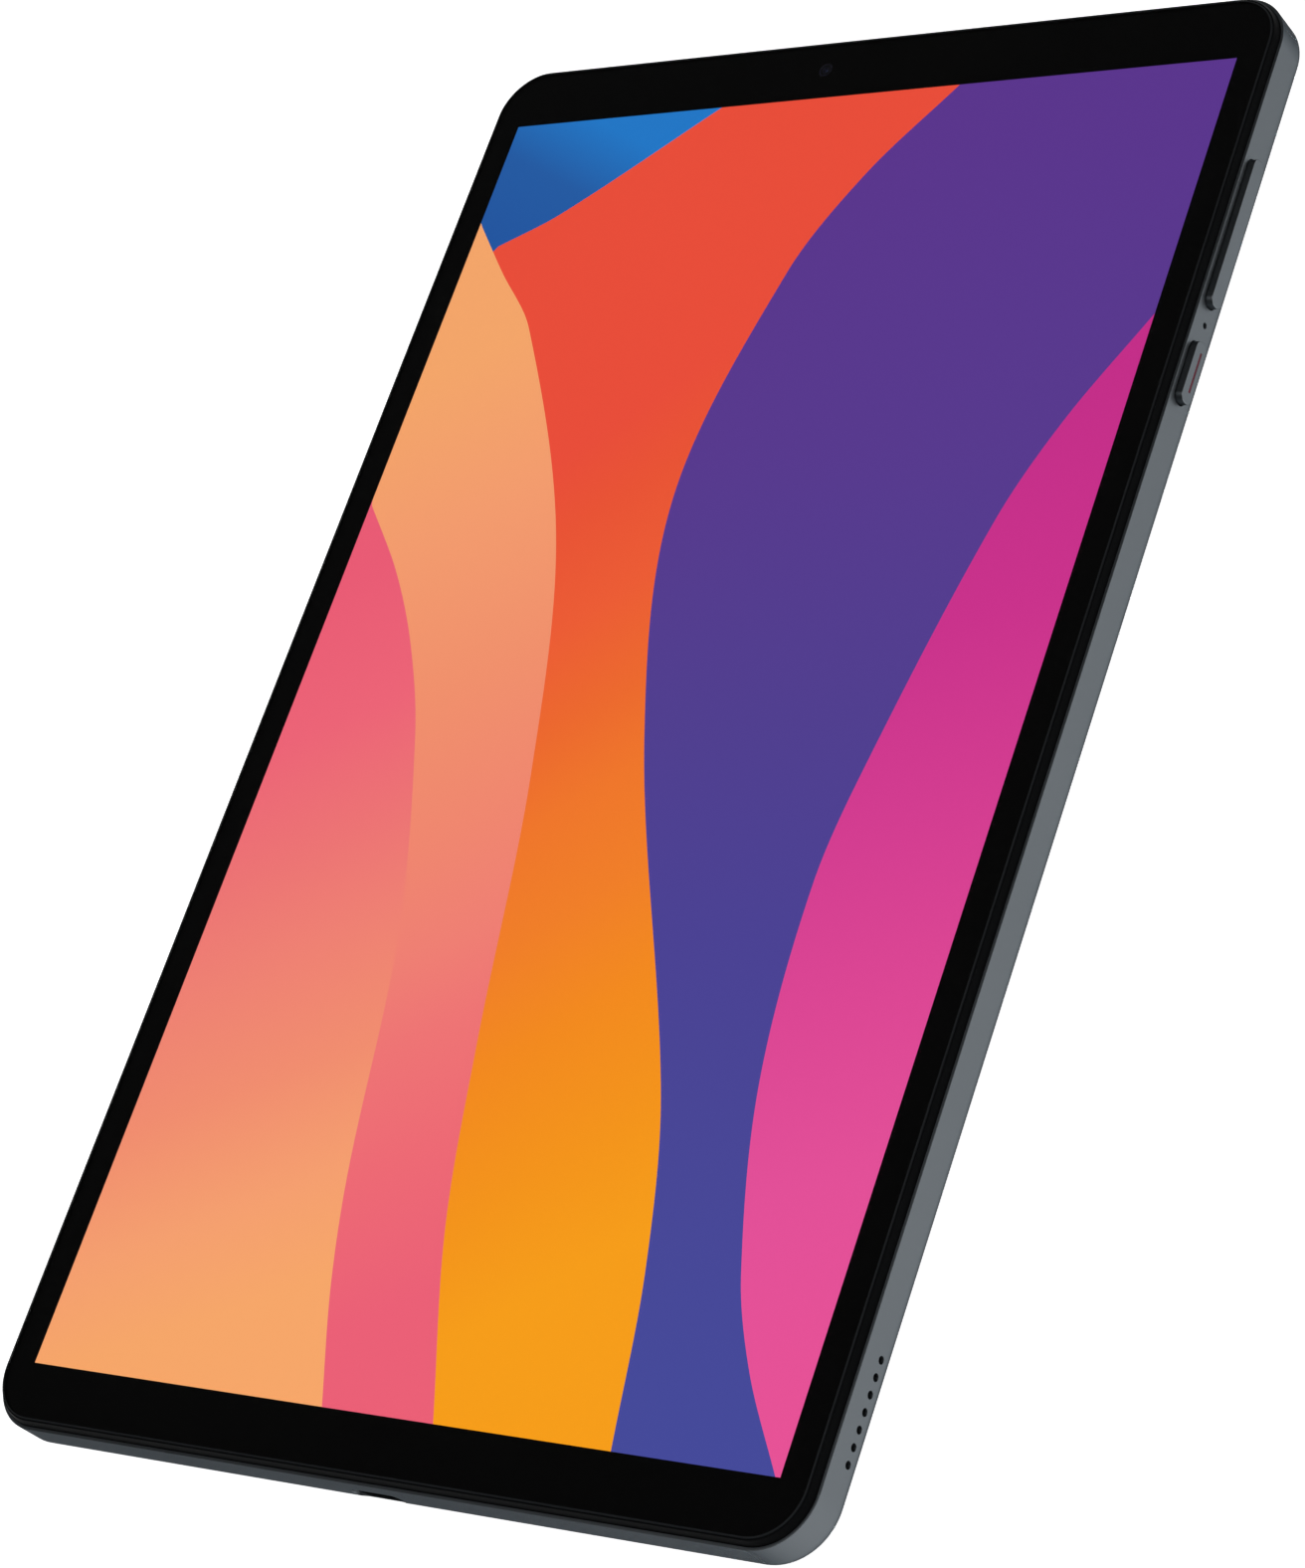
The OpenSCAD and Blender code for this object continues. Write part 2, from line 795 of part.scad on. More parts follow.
// Power key, with a groove for its coloured inlay
module power_key() {
    color("slategray") difference() {
        union() {
            key_body(power_key_y, power_key_l, power_plate_l);
            key_stub(power_key_y);
        }
        key_stack(half_w + key_stand + pass, inlay_y, inlay_z,
            [inlay_size[0] + pass, inlay_size[1] + 2 * inlay_fit, inlay_size[2] + 2 * inlay_fit]);
    }
}

// Coloured line on the power key
module power_key_inlay() {
    color("darkred")
        key_stack(half_w + key_stand - 0.01, inlay_y, inlay_z, [inlay_size[0] - 0.03, inlay_size[1], inlay_size[2]]);
}

rear_housing();
front_frame();
cover_glass();
printed_border();
glass_adhesive();
lcd_panel();
backlight_unit();
display_shield();
display_flex();
mid_frame();
frame_screws();
mainboard();
processor_shield();
radio_shield();
power_shield();
board_screws();
battery_cell_left();
battery_cell_right();
battery_board();
battery_flex();
graphite_sheet();
usb_board();
usb_c_receptacle();
usb_c_tongue();
board_link_flex();
speaker_right();
speaker_left();
speaker_mesh_right();
speaker_mesh_left();
key_bracket();
key_flex();
dome_switches();
side_microphone();
microphone_gasket();
card_socket();
card_tray();
card_tray_seal();
headphone_socket();
front_camera_module();
front_camera_lens();
rear_camera_module();
rear_camera_ring();
rear_camera_window();
flash_led();
flash_window();
wifi_antenna();
gps_antenna();
volume_key();
power_key();
power_key_inlay();
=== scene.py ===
"""Visual model of a tablet computer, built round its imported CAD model.

The frame gives every solid at its real size.  This script adds what is seen: shells
with their rounded edges and cut openings, the lit screen under its glass, and a
finish for every piece.  Lengths are in metres.  +X is the side with the keys, +Y
the end with the front camera, and +Z leaves the screen.
"""

import logging
import math
from dataclasses import dataclass, field
from enum import Enum

import bmesh
import bpy
from mathutils import Matrix, Vector


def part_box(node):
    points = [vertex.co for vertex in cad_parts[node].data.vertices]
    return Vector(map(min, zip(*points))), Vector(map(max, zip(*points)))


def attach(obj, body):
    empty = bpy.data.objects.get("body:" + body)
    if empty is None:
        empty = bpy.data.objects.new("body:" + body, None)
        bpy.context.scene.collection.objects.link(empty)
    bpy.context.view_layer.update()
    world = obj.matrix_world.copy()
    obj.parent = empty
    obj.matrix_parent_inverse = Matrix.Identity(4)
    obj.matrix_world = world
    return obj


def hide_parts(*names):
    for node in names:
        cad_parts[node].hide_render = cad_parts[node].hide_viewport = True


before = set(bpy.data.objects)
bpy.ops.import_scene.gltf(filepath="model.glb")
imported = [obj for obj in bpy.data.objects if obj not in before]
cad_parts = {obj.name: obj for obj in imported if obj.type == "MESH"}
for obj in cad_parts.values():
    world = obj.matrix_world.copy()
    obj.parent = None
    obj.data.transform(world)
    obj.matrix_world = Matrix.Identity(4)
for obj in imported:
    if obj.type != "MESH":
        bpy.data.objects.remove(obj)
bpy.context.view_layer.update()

log = logging.getLogger("tablet")

MM = 0.001
MICRON = 0.001 * MM

Point = tuple[float, float]
Corner = tuple[float, float, float]
Colour = tuple[float, float, float, float]


# ---------------------------------------------------------------- outlines and sweeps


class Axis(Enum):
    """The direction in which a sweep runs, with the order of its plane coordinates."""

    X = (1, 2, 0)
    Y = (0, 2, 1)
    Z = (0, 1, 2)

    def place(self, a: float, b: float, depth: float) -> Vector:
        """Return the point with plane coordinates a and b at a depth along the axis."""
        spot = Vector((0.0, 0.0, 0.0))
        for index, value in zip(self.value, (a, b, depth)):
            spot[index] = value
        return spot


@dataclass(frozen=True)
class Outline:
    """A rectangle with round corners, which is a circle or a stadium at its limits."""

    width: float
    height: float
    radius: float
    steps: int = 10

    def loop(self, grow: float) -> list[Point]:
        """List the outline's points, moved outwards by a distance.

        Args:
            grow: How far every side moves outwards; negative moves it inwards.

        Returns:
            The points in order, with the same count for every value of grow.
        """
        half_a = self.width / 2 + grow
        half_b = self.height / 2 + grow
        radius = min(max(self.radius + grow, 0.0), half_a, half_b)
        points = []
        for k, (sa, sb) in enumerate([(1, 1), (-1, 1), (-1, -1), (1, -1)]):
            for i in range(self.steps + 1):
                angle = math.radians(90 * (k + i / self.steps))
                points.append((
                    sa * (half_a - radius) + radius * math.cos(angle),
                    sb * (half_b - radius) + radius * math.sin(angle),
                ))
        return points


def disc(radius: float, steps: int = 10) -> Outline:
    """Return the outline of a circle."""
    return Outline(2 * radius, 2 * radius, radius, steps)


def rounded(corners: list[Corner], closed: bool = False, steps: int = 4) -> list[Point]:
    """Round the corners of a section.

    Args:
        corners: The section's corners, each with its own radius.
        closed: Whether the last corner joins the first.
        steps: How many stretches each round corner has.

    Returns:
        The section's points.
    """
    points = []
    count = len(corners)
    for i, (a, b, radius) in enumerate(corners):
        at_end = not closed and i in (0, count - 1)
        if radius <= 0 or at_end:
            points.append((a, b))
            continue
        here = Vector((a, b))
        before = Vector(corners[i - 1][:2]) - here
        after = Vector(corners[(i + 1) % count][:2]) - here
        start = before.normalized() * radius
        end = after.normalized() * radius
        for k in range(steps + 1):
            turn = math.radians(90 * k / steps)
            spot = here + start * (1 - math.sin(turn)) + end * (1 - math.cos(turn))
            points.append((spot.x, spot.y))
    return points


def sweep(
    bm: bmesh.types.BMesh,
    outline: Outline,
    axis: Axis,
    centre: Point,
    section: list[Point],
    closed: bool = False,
) -> None:
    """Add the solid that a section makes as it goes round an outline.

    Args:
        bm: The mesh that receives the solid.
        outline: The outline in the plane across the axis.
        axis: The direction of the section's depths.
        centre: The outline's middle in that plane.
        section: Pairs of outward growth and depth, in order.
        closed: Whether the section is a closed hoop and not a capped plug.
    """
    rings = []
    for grow, depth in section:
        loop = outline.loop(grow)
        rings.append([bm.verts.new(axis.place(centre[0] + a, centre[1] + b, depth)) for a, b in loop])
    pairs = list(zip(rings, rings[1:]))
    if closed:
        pairs.append((rings[-1], rings[0]))
    count = len(rings[0])
    for low, high in pairs:
        for i in range(count):
            k = (i + 1) % count
            bm.faces.new((low[i], low[k], high[k], high[i]))
    if not closed:
        bm.faces.new(rings[0])
        bm.faces.new(list(reversed(rings[-1])))


def add_block(bm: bmesh.types.BMesh, low: Vector, high: Vector, edge: float) -> None:
    """Add a block with softened upright and level edges between two corners."""
    size = high - low
    middle = (low + high) / 2
    outline = Outline(size.x, size.y, edge, 3)
    section = rounded([
        (-edge, low.z, 0), (0, low.z, edge), (0, high.z, edge), (-edge, high.z, 0),
    ], steps=2)
    sweep(bm, outline, Axis.Z, (middle.x, middle.y), section)


def tidy(bm: bmesh.types.BMesh) -> bmesh.types.BMesh:
    """Merge doubled points, drop slivers and turn every face outwards."""
    bmesh.ops.remove_doubles(bm, verts=bm.verts, dist=2 * MICRON)
    bmesh.ops.dissolve_degenerate(bm, dist=MICRON, edges=bm.edges)
    bmesh.ops.recalc_face_normals(bm, faces=bm.faces)
    return bm


def to_object(name: str, bm: bmesh.types.BMesh, sharp: float = 40.0) -> bpy.types.Object:
    """Turn a mesh into a linked object whose flat faces stay flat.

    Args:
        name: The object's name.
        bm: The mesh, which is freed.
        sharp: The angle in degrees above which an edge stays sharp.

    Returns:
        The new object.
    """
    tidy(bm)
    mesh = bpy.data.meshes.new(name)
    bm.to_mesh(mesh)
    bm.free()
    mesh.shade_smooth()
    mesh.set_sharp_from_angle(angle=math.radians(sharp))
    made = bpy.data.objects.new(name, mesh)
    bpy.context.scene.collection.objects.link(made)
    weights = made.modifiers.new("even_normals", "WEIGHTED_NORMAL")
    weights.mode = "FACE_AREA"
    weights.weight = 100
    weights.keep_sharp = True
    return made


def carve(body: bmesh.types.BMesh, cutters: list[bmesh.types.BMesh]) -> bmesh.types.BMesh:
    """Cut every cutter out of a body with an exact Boolean.

    Args:
        body: The mesh to cut, which is freed.
        cutters: Closed meshes that don't touch each other, which are freed.

    Returns:
        The cut mesh.
    """
    scene = bpy.context.scene
    held = []
    for label, part in [("body", body)] + [("cutter", cutter) for cutter in cutters]:
        tidy(part)
        mesh = bpy.data.meshes.new(label)
        part.to_mesh(mesh)
        part.free()
        thing = bpy.data.objects.new(label, mesh)
        scene.collection.objects.link(thing)
        held.append(thing)
    for cutter in held[1:]:
        cut = held[0].modifiers.new("cut", "BOOLEAN")
        cut.operation = "DIFFERENCE"
        cut.solver = "EXACT"
        cut.object = cutter
    bpy.context.view_layer.update()
    graph = bpy.context.evaluated_depsgraph_get()
    result = bmesh.new()
    result.from_mesh(held[0].evaluated_get(graph).to_mesh())
    for thing in held:
        mesh = thing.data
        bpy.data.objects.remove(thing)
        bpy.data.meshes.remove(mesh)
    return result


def loose_boxes(node: str) -> list[tuple[Vector, Vector]]:
    """Find the box of each separate solid in a CAD node.

    Args:
        node: The node's name.

    Returns:
        The lowest and highest corner of each solid.
    """
    bm = bmesh.new()
    bm.from_mesh(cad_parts[node].data)
    bmesh.ops.remove_doubles(bm, verts=bm.verts, dist=MICRON)
    waiting = set(bm.verts)
    boxes = []
    while waiting:
        first = waiting.pop()
        group, front = [first], [first]
        while front:
            vert = front.pop()
            for edge in vert.link_edges:
                other = edge.other_vert(vert)
                if other in waiting:
                    waiting.remove(other)
                    group.append(other)
                    front.append(other)
        low = Vector([min(v.co[i] for v in group) for i in range(3)])
        high = Vector([max(v.co[i] for v in group) for i in range(3)])
        boxes.append((low, high))
    bm.free()
    return sorted(boxes, key=lambda pair: tuple(pair[0]))


def middle_of(node: str) -> Vector:
    """Return the middle of a CAD node's box."""
    low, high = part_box(node)
    return (low + high) / 2


# ---------------------------------------------------------------- shader groups


def colour(code: str) -> Colour:
    """Turn a six-digit display colour into the linear colour that shaders use."""
    channels = [int(code[i:i + 2], 16) / 255 for i in (0, 2, 4)]
    linear = [c / 12.92 if c <= 0.04045 else ((c + 0.055) / 1.055) ** 2.4 for c in channels]
    return (linear[0], linear[1], linear[2], 1.0)


class Graph:
    """A node tree with short calls for the nodes that these finishes use."""

    def __init__(self, tree: bpy.types.NodeTree) -> None:
        """Keep the tree and start its layout."""
        self.tree = tree
        self.column = 0

    def node(self, kind: str, **settings: object) -> bpy.types.Node:
        """Add a node.

        Args:
            kind: The node's type, without its Shader prefix where it has one.
            settings: Properties of the node, or values of its inputs by name.

        Returns:
            The new node.
        """
        made = self.tree.nodes.new(kind)
        made.location = (self.column * 190, 0)
        self.column += 1
        for key, value in settings.items():
            if hasattr(made, key):
                setattr(made, key, value)
            else:
                self.feed(made, key.replace("_", " "), value)
        return made

    def feed(self, node: bpy.types.Node, name: str, value: object) -> None:
        """Link a socket into a node's input, or set the input's value."""
        target = node.inputs[name]
        if isinstance(value, bpy.types.NodeSocket):
            self.tree.links.new(value, target)
        else:
            target.default_value = value

    def math(self, operation: str, a: object, b: object = 0.0, clamp: bool = False) -> bpy.types.NodeSocket:
        """Return the result of a Math node on two values or sockets."""
        made = self.node("ShaderNodeMath", operation=operation, use_clamp=clamp)
        for index, value in enumerate((a, b)):
            if isinstance(value, bpy.types.NodeSocket):
                self.tree.links.new(value, made.inputs[index])
            else:
                made.inputs[index].default_value = value
        return made.outputs[0]

    def spread(self, value: bpy.types.NodeSocket, low: float, high: float) -> bpy.types.NodeSocket:
        """Map a mask from 0..1 onto a range."""
        made = self.node("ShaderNodeMapRange", Value=value)
        made.inputs["To Min"].default_value = low
        made.inputs["To Max"].default_value = high
        return made.outputs["Result"]

    def blend(self, mask: bpy.types.NodeSocket, low: object, high: object) -> bpy.types.NodeSocket:
        """Mix two colours or colour sockets by a mask."""
        made = self.node("ShaderNodeMix", data_type="RGBA")
        self.tree.links.new(mask, made.inputs[0])
        for index, value in ((6, low), (7, high)):
            if isinstance(value, bpy.types.NodeSocket):
                self.tree.links.new(value, made.inputs[index])
            else:
                made.inputs[index].default_value = value
        return made.outputs[2]


class GroupMaker:
    """Makes each shared shader group once and hands it out again."""

    def __init__(self) -> None:
        """Start with no groups."""
        self.made: dict[str, bpy.types.NodeTree] = {}

    def start(self, name: str, inputs: dict[str, float], outputs: list[str]) -> tuple:
        """Open a new group with named float sockets.

        Args:
            name: The group's name.
            inputs: The name and usual value of each input.
            outputs: The names of the outputs.

        Returns:
            The group's graph, its input node and its output node.
        """
        tree = bpy.data.node_groups.new(name, "ShaderNodeTree")
        for key, value in inputs.items():
            socket = tree.interface.new_socket(key, in_out="INPUT", socket_type="NodeSocketFloat")
            socket.default_value = value
        for key in outputs:
            tree.interface.new_socket(key, in_out="OUTPUT", socket_type="NodeSocketFloat")
        graph = Graph(tree)
        return graph, graph.node("NodeGroupInput"), graph.node("NodeGroupOutput")

    def get(self, name: str) -> bpy.types.NodeTree:
        """Return the group of that name, made by the method of the same name."""
        if name not in self.made:
            self.made[name] = getattr(self, name)(name)
        return self.made[name]

    def fine_grain(self, name: str) -> bpy.types.NodeTree:
        """Make the group for the grain and slow mottling that every surface has."""
        graph, given, out = self.start(name, {"Grains per metre": 9000.0, "Patches per metre": 60.0},
                                       ["Grain", "Mottle"])
        spot = graph.node("ShaderNodeTexCoord").outputs["Object"]
        grain = graph.node("ShaderNodeTexNoise", Vector=spot, Scale=given.outputs[0], Detail=2.0,
                           Roughness=0.6)
        mottle = graph.node("ShaderNodeTexNoise", Vector=spot, Scale=given.outputs[1], Detail=3.0,
                            Roughness=0.55)
        graph.feed(out, "Grain", grain.outputs["Fac"])
        graph.feed(out, "Mottle", mottle.outputs["Fac"])
        return graph.tree

    def edge_wear(self, name: str) -> bpy.types.NodeTree:
        """Make the group for a mask of edges that hands have rubbed."""
        graph, given, out = self.start(name, {"Reach": 0.0002, "Gain": 6.0}, ["Edge"])
        soft = graph.node("ShaderNodeBevel", samples=4)
        graph.feed(soft, "Radius", given.outputs[0])
        true = graph.node("ShaderNodeNewGeometry").outputs["Normal"]
        dot = graph.node("ShaderNodeVectorMath", operation="DOT_PRODUCT")
        graph.tree.links.new(soft.outputs[0], dot.inputs[0])
        graph.tree.links.new(true, dot.inputs[1])
        bend = graph.math("SUBTRACT", 1.0, dot.outputs["Value"])
        spot = graph.node("ShaderNodeTexCoord").outputs["Object"]
        rub = graph.node("ShaderNodeTexNoise", Vector=spot, Scale=900.0, Detail=3.0)
        broken = graph.math("MULTIPLY", bend, rub.outputs["Fac"])
        graph.feed(out, "Edge", graph.math("MULTIPLY", broken, given.outputs[1], clamp=True))
        return graph.tree

    def prints(self, name: str) -> bpy.types.NodeTree:
        """Make the group for the faint wiped film on glass."""
        graph, given, out = self.start(name, {"Streaks per metre": 40.0}, ["Film"])
        spot = graph.node("ShaderNodeTexCoord").outputs["Object"]
        turn = graph.node("ShaderNodeMapping", Vector=spot)
        turn.inputs["Rotation"].default_value = (0.0, 0.0, math.radians(28))
        turn.inputs["Scale"].default_value = (1.0, 0.25, 1.0)
        film = graph.node("ShaderNodeTexNoise", Vector=turn.outputs[0], Scale=given.outputs[0],
                          Detail=4.0, Distortion=0.6)
        graph.feed(out, "Film", graph.math("POWER", film.outputs["Fac"], 2.0))
        return graph.tree

    def weave(self, name: str) -> bpy.types.NodeTree:
        """Make the group for the woven wires of a fine mesh."""
        graph, given, out = self.start(name, {"Wires per metre": 6000.0}, ["Mask", "Height"])
        spot = graph.node("ShaderNodeTexCoord").outputs["Object"]
        parts = graph.node("ShaderNodeSeparateXYZ", Vector=spot)
        turns = graph.math("MULTIPLY", given.outputs[0], math.pi)
        warp = graph.math("ABSOLUTE", graph.math("SINE", graph.math("MULTIPLY", parts.outputs["Y"], turns)))
        weft = graph.math("ABSOLUTE", graph.math("SINE", graph.math("MULTIPLY", parts.outputs["Z"], turns)))
        wires = graph.math("MAXIMUM", warp, weft)
        graph.feed(out, "Mask", graph.math("GREATER_THAN", wires, 0.75))
        graph.feed(out, "Height", wires)
        return graph.tree

    def brushed(self, name: str) -> bpy.types.NodeTree:
        """Make the group for the fine lines of rolled or brushed sheet."""
        graph, given, out = self.start(name, {"Lines per metre": 3000.0}, ["Mask", "Height"])
        spot = graph.node("ShaderNodeTexCoord").outputs["Object"]
        long = graph.node("ShaderNodeMapping", Vector=spot)
        long.inputs["Scale"].default_value = (1.0, 0.02, 1.0)
        lines = graph.node("ShaderNodeTexNoise", Vector=long.outputs[0], Scale=given.outputs[0], Detail=2.0)
        graph.feed(out, "Mask", lines.outputs["Fac"])
        graph.feed(out, "Height", lines.outputs["Fac"])
        return graph.tree

    def traces(self, name: str) -> bpy.types.NodeTree:
        """Make the group for the conductor lines and pads under a solder mask."""
        graph, given, out = self.start(name, {"Tracks per metre": 900.0}, ["Mask", "Height"])
        spot = graph.node("ShaderNodeTexCoord").outputs["Object"]
        cells = graph.node("ShaderNodeTexVoronoi", Vector=spot, Scale=given.outputs[0], distance="CHEBYCHEV")
        ring = graph.math("PINGPONG", cells.outputs["Distance"], 0.22)
        line = graph.math("GREATER_THAN", ring, 0.13)
        graph.feed(out, "Mask", line)
        graph.feed(out, "Height", line)
        return graph.tree

    def crinkle(self, name: str) -> bpy.types.NodeTree:
        """Make the group for the soft creases of a foil pouch."""
        graph, given, out = self.start(name, {"Creases per metre": 90.0}, ["Mask", "Height"])
        spot = graph.node("ShaderNodeTexCoord").outputs["Object"]
        folds = graph.node("ShaderNodeTexVoronoi", Vector=spot, Scale=given.outputs[0],
                           feature="SMOOTH_F1")
        graph.feed(out, "Mask", folds.outputs["Distance"])
        graph.feed(out, "Height", folds.outputs["Distance"])
        return graph.tree


GROUPS = GroupMaker()


def place_group(graph: Graph, name: str, *values: float) -> bpy.types.Node:
    """Put a shared group into a material with its own values."""
    made = graph.node("ShaderNodeGroup")
    made.node_tree = GROUPS.get(name)
    for index, value in enumerate(values):
        made.inputs[index].default_value = value
    return made


# ---------------------------------------------------------------- finishes


def finish_title(name: str) -> str:
    """Return the name of a finish's material, which no packed material has."""
    return f"{name}_finish"


def start_material(name: str) -> tuple[bpy.types.Material, Graph, bpy.types.Node]:
    """Make a material that holds only a Principled shader.

    Args:
        name: The finish's name.

    Returns:
        The material, its graph and its shader.
    """
    made = bpy.data.materials.new(finish_title(name))
    made.use_nodes = True
    made.node_tree.nodes.clear()
    graph = Graph(made.node_tree)
    shader = graph.node("ShaderNodeBsdfPrincipled")
    graph.feed(graph.node("ShaderNodeOutputMaterial"), "Surface", shader.outputs[0])
    return made, graph, shader


class Pattern(Enum):
    """A pattern that a finish can carry over its grain."""

    NONE = "none"
    WEAVE = "weave"
    BRUSHED = "brushed"
    TRACES = "traces"
    CRINKLE = "crinkle"


@dataclass(frozen=True)
class Finish:
    """A surface finish with grain, mottling, edge wear and an optional pattern."""

    name: str
    dark: str
    light: str
    metallic: float = 0.0
    roughness: tuple[float, float] = (0.4, 0.55)
    grains: float = 9000.0
    patches: float = 60.0
    bump: float = 0.0
    wear: float = 0.0
    wear_light: str = "c8ccd0"
    specular: float = 0.5
    edge_tint: str = "ffffff"
    glow: float = 0.0
    coat: float = 0.0
    pattern: Pattern = Pattern.NONE
    pattern_scale: float = 1000.0
    pattern_colour: str = "808080"
    pattern_bump: float = 0.0

    def material(self) -> bpy.types.Material:
        """Return this finish's material, which is made at the first call."""
        held = bpy.data.materials.get(finish_title(self.name))
        if held:
            return held
        made, graph, shader = start_material(self.name)
        shader.inputs["Metallic"].default_value = self.metallic
        shader.inputs["Specular IOR Level"].default_value = self.specular
        shader.inputs["Specular Tint"].default_value = colour(self.edge_tint)
        shader.inputs["Coat Weight"].default_value = self.coat
        shader.inputs["Emission Strength"].default_value = self.glow
        shader.inputs["Coat Roughness"].default_value = 0.12
        grain = place_group(graph, "fine_grain", self.grains, self.patches)
        base = graph.blend(grain.outputs["Mottle"], colour(self.dark), colour(self.light))
        rough = graph.spread(grain.outputs["Mottle"], *self.roughness)
        height = grain.outputs["Grain"]
        depth = self.bump
        if self.pattern is not Pattern.NONE:
            mark = place_group(graph, self.pattern.value, self.pattern_scale)
            base = graph.blend(mark.outputs["Mask"], base, colour(self.pattern_colour))
            if self.pattern_bump:
                height = mark.outputs["Height"]
                depth = self.pattern_bump
        if self.wear:
            edge = place_group(graph, "edge_wear", 0.15 * MM, self.wear).outputs["Edge"]
            base = graph.blend(edge, base, colour(self.wear_light))
        graph.feed(shader, "Base Color", base)
        graph.feed(shader, "Roughness", rough)
        if depth:
            bump = graph.node("ShaderNodeBump", Height=height)
            bump.inputs["Strength"].default_value = 1.0
            bump.inputs["Distance"].default_value = depth
            graph.feed(shader, "Normal", bump.outputs[0])
        return made


@dataclass(frozen=True)
class ClearFinish:
    """A clear pane, with a faint wiped film that only changes its roughness."""

    name: str
    tint: str = "ffffff"
    ior: float = 1.5
    roughness: tuple[float, float] = (0.0, 0.02)

    def material(self) -> bpy.types.Material:
        """Return this pane's material, which is made at the first call."""
        held = bpy.data.materials.get(finish_title(self.name))
        if held:
            return held
        made, graph, shader = start_material(self.name)
        shader.inputs["Base Color"].default_value = colour(self.tint)
        shader.inputs["IOR"].default_value = self.ior
        shader.inputs["Transmission Weight"].default_value = 1.0
        film = place_group(graph, "prints", 40.0).outputs["Film"]
        graph.feed(shader, "Roughness", graph.spread(film, *self.roughness))
        return made


@dataclass(frozen=True)
class LitFinish:
    """Light of one band of the picture, which shades from its foot to its head."""

    name: str
    stops: tuple[tuple[float, str], ...]
    slant: float = 0.0
    level_at: float = 0.5

    def material(self) -> bpy.types.Material:
        """Return this band's material, which is made at the first call."""
        held = bpy.data.materials.get(finish_title(self.name))
        if held:
            return held
        made, graph, shader = start_material(self.name)
        shader.inputs["Base Color"].default_value = (0.0, 0.0, 0.0, 1.0)
        shader.inputs["Roughness"].default_value = 0.6
        shader.inputs["Specular IOR Level"].default_value = 0.0
        shader.inputs["Emission Strength"].default_value = 1.11
        spot = graph.node("ShaderNodeUVMap", uv_map="screen").outputs[0]
        parts = graph.node("ShaderNodeSeparateXYZ", Vector=spot)
        across = graph.math("SUBTRACT", parts.outputs["X"], self.level_at)
        shade = graph.math("SUBTRACT", parts.outputs["Y"], graph.math("MULTIPLY", across, self.slant))
        ramp = graph.node("ShaderNodeValToRGB", Fac=shade)
        elements = ramp.color_ramp.elements
        while len(elements) > 1:
            elements.remove(elements[-1])
        for index, (place, code) in enumerate(self.stops):
            stop = elements[0] if index == 0 else elements.new(place)
            stop.position = place
            stop.color = colour(code)
        graph.feed(shader, "Emission Color", ramp.outputs["Color"])
        return made


HOUSING = Finish("anodised_housing", "676c70", "6e7377", 1.0, (0.4, 0.48), 26000.0, 45.0,
                 bump=1.2 * MICRON, wear=5.0, wear_light="70767b", edge_tint="696969")
KEY_METAL = Finish("anodised_keys", "666b6f", "6d7276", 1.0, (0.32, 0.4), 26000.0, 200.0,
                   bump=1.0 * MICRON, wear=1.2, wear_light="666b70", edge_tint="696969")
TRAY_METAL = Finish("anodised_tray", "666b6f", "6d7276", 1.0, (0.4, 0.48), 26000.0, 200.0,
                    bump=1.0 * MICRON, wear=4.0, wear_light="70767b", edge_tint="696969")
RING_METAL = Finish("polished_ring", "6a6f75", "7c828a", 1.0, (0.14, 0.22), 20000.0, 300.0,
                    wear=4.0, wear_light="c0c4c8")
FRAME_BLACK = Finish("black_frame", "0a0b0c", "0f1011", 0.0, (0.4, 0.5), 22000.0, 80.0,
                     bump=0.6 * MICRON, specular=0.015)
GROUND_EDGE = Finish("ground_glass_edge", "222426", "282a2c", 0.0, (0.5, 0.6), 30000.0, 90.0, specular=0.05)
BORDER_INK = Finish("border_ink", "050505", "070707", 0.0, (0.5, 0.6), 12000.0, 60.0, specular=0.0)
ADHESIVE = Finish("grey_adhesive", "2c2c2e", "3a3a3c", 0.0, (0.6, 0.8), 5000.0, 300.0, bump=2 * MICRON)
PANEL_GLASS = Finish("panel_glass", "060608", "0a0a0e", 0.0, (0.08, 0.14), 8000.0, 40.0)
LIGHT_GUIDE = Finish("light_guide", "e4e6e8", "f2f3f4", 0.0, (0.3, 0.4), 8000.0, 50.0)
SHEET_STEEL = Finish("sheet_steel", "8d9094", "a2a5a8", 1.0, (0.26, 0.4), 9000.0, 60.0,
                     pattern=Pattern.BRUSHED, pattern_scale=3000.0, pattern_colour="b4b7ba",
                     pattern_bump=1.0 * MICRON)
CAST_FRAME = Finish("cast_frame", "7c8084", "96999c", 1.0, (0.45, 0.6), 4000.0, 80.0, bump=4 * MICRON)
SCREW_STEEL = Finish("screw_steel", "55585c", "707478", 1.0, (0.25, 0.4), 14000.0, 900.0, wear=5.0)
CIRCUIT_BOARD = Finish("circuit_board", "0b2a1c", "0f3624", 0.0, (0.3, 0.42), 9000.0, 80.0,
                       coat=0.3, pattern=Pattern.TRACES, pattern_scale=900.0, pattern_colour="1d5238",
                       pattern_bump=12 * MICRON)
CAN_METAL = Finish("shield_can", "9b9da0", "b3b5b7", 1.0, (0.3, 0.45), 7000.0, 200.0,
                   pattern=Pattern.BRUSHED, pattern_scale=5000.0, pattern_colour="c3c5c6",
                   pattern_bump=0.8 * MICRON, wear=3.0)
BATTERY_POUCH = Finish("battery_pouch", "1b1c1f", "26272b", 0.0, (0.3, 0.45), 6000.0, 70.0,
                       coat=0.4, pattern=Pattern.CRINKLE, pattern_scale=90.0,
                       pattern_colour="2c2d31", pattern_bump=25 * MICRON)
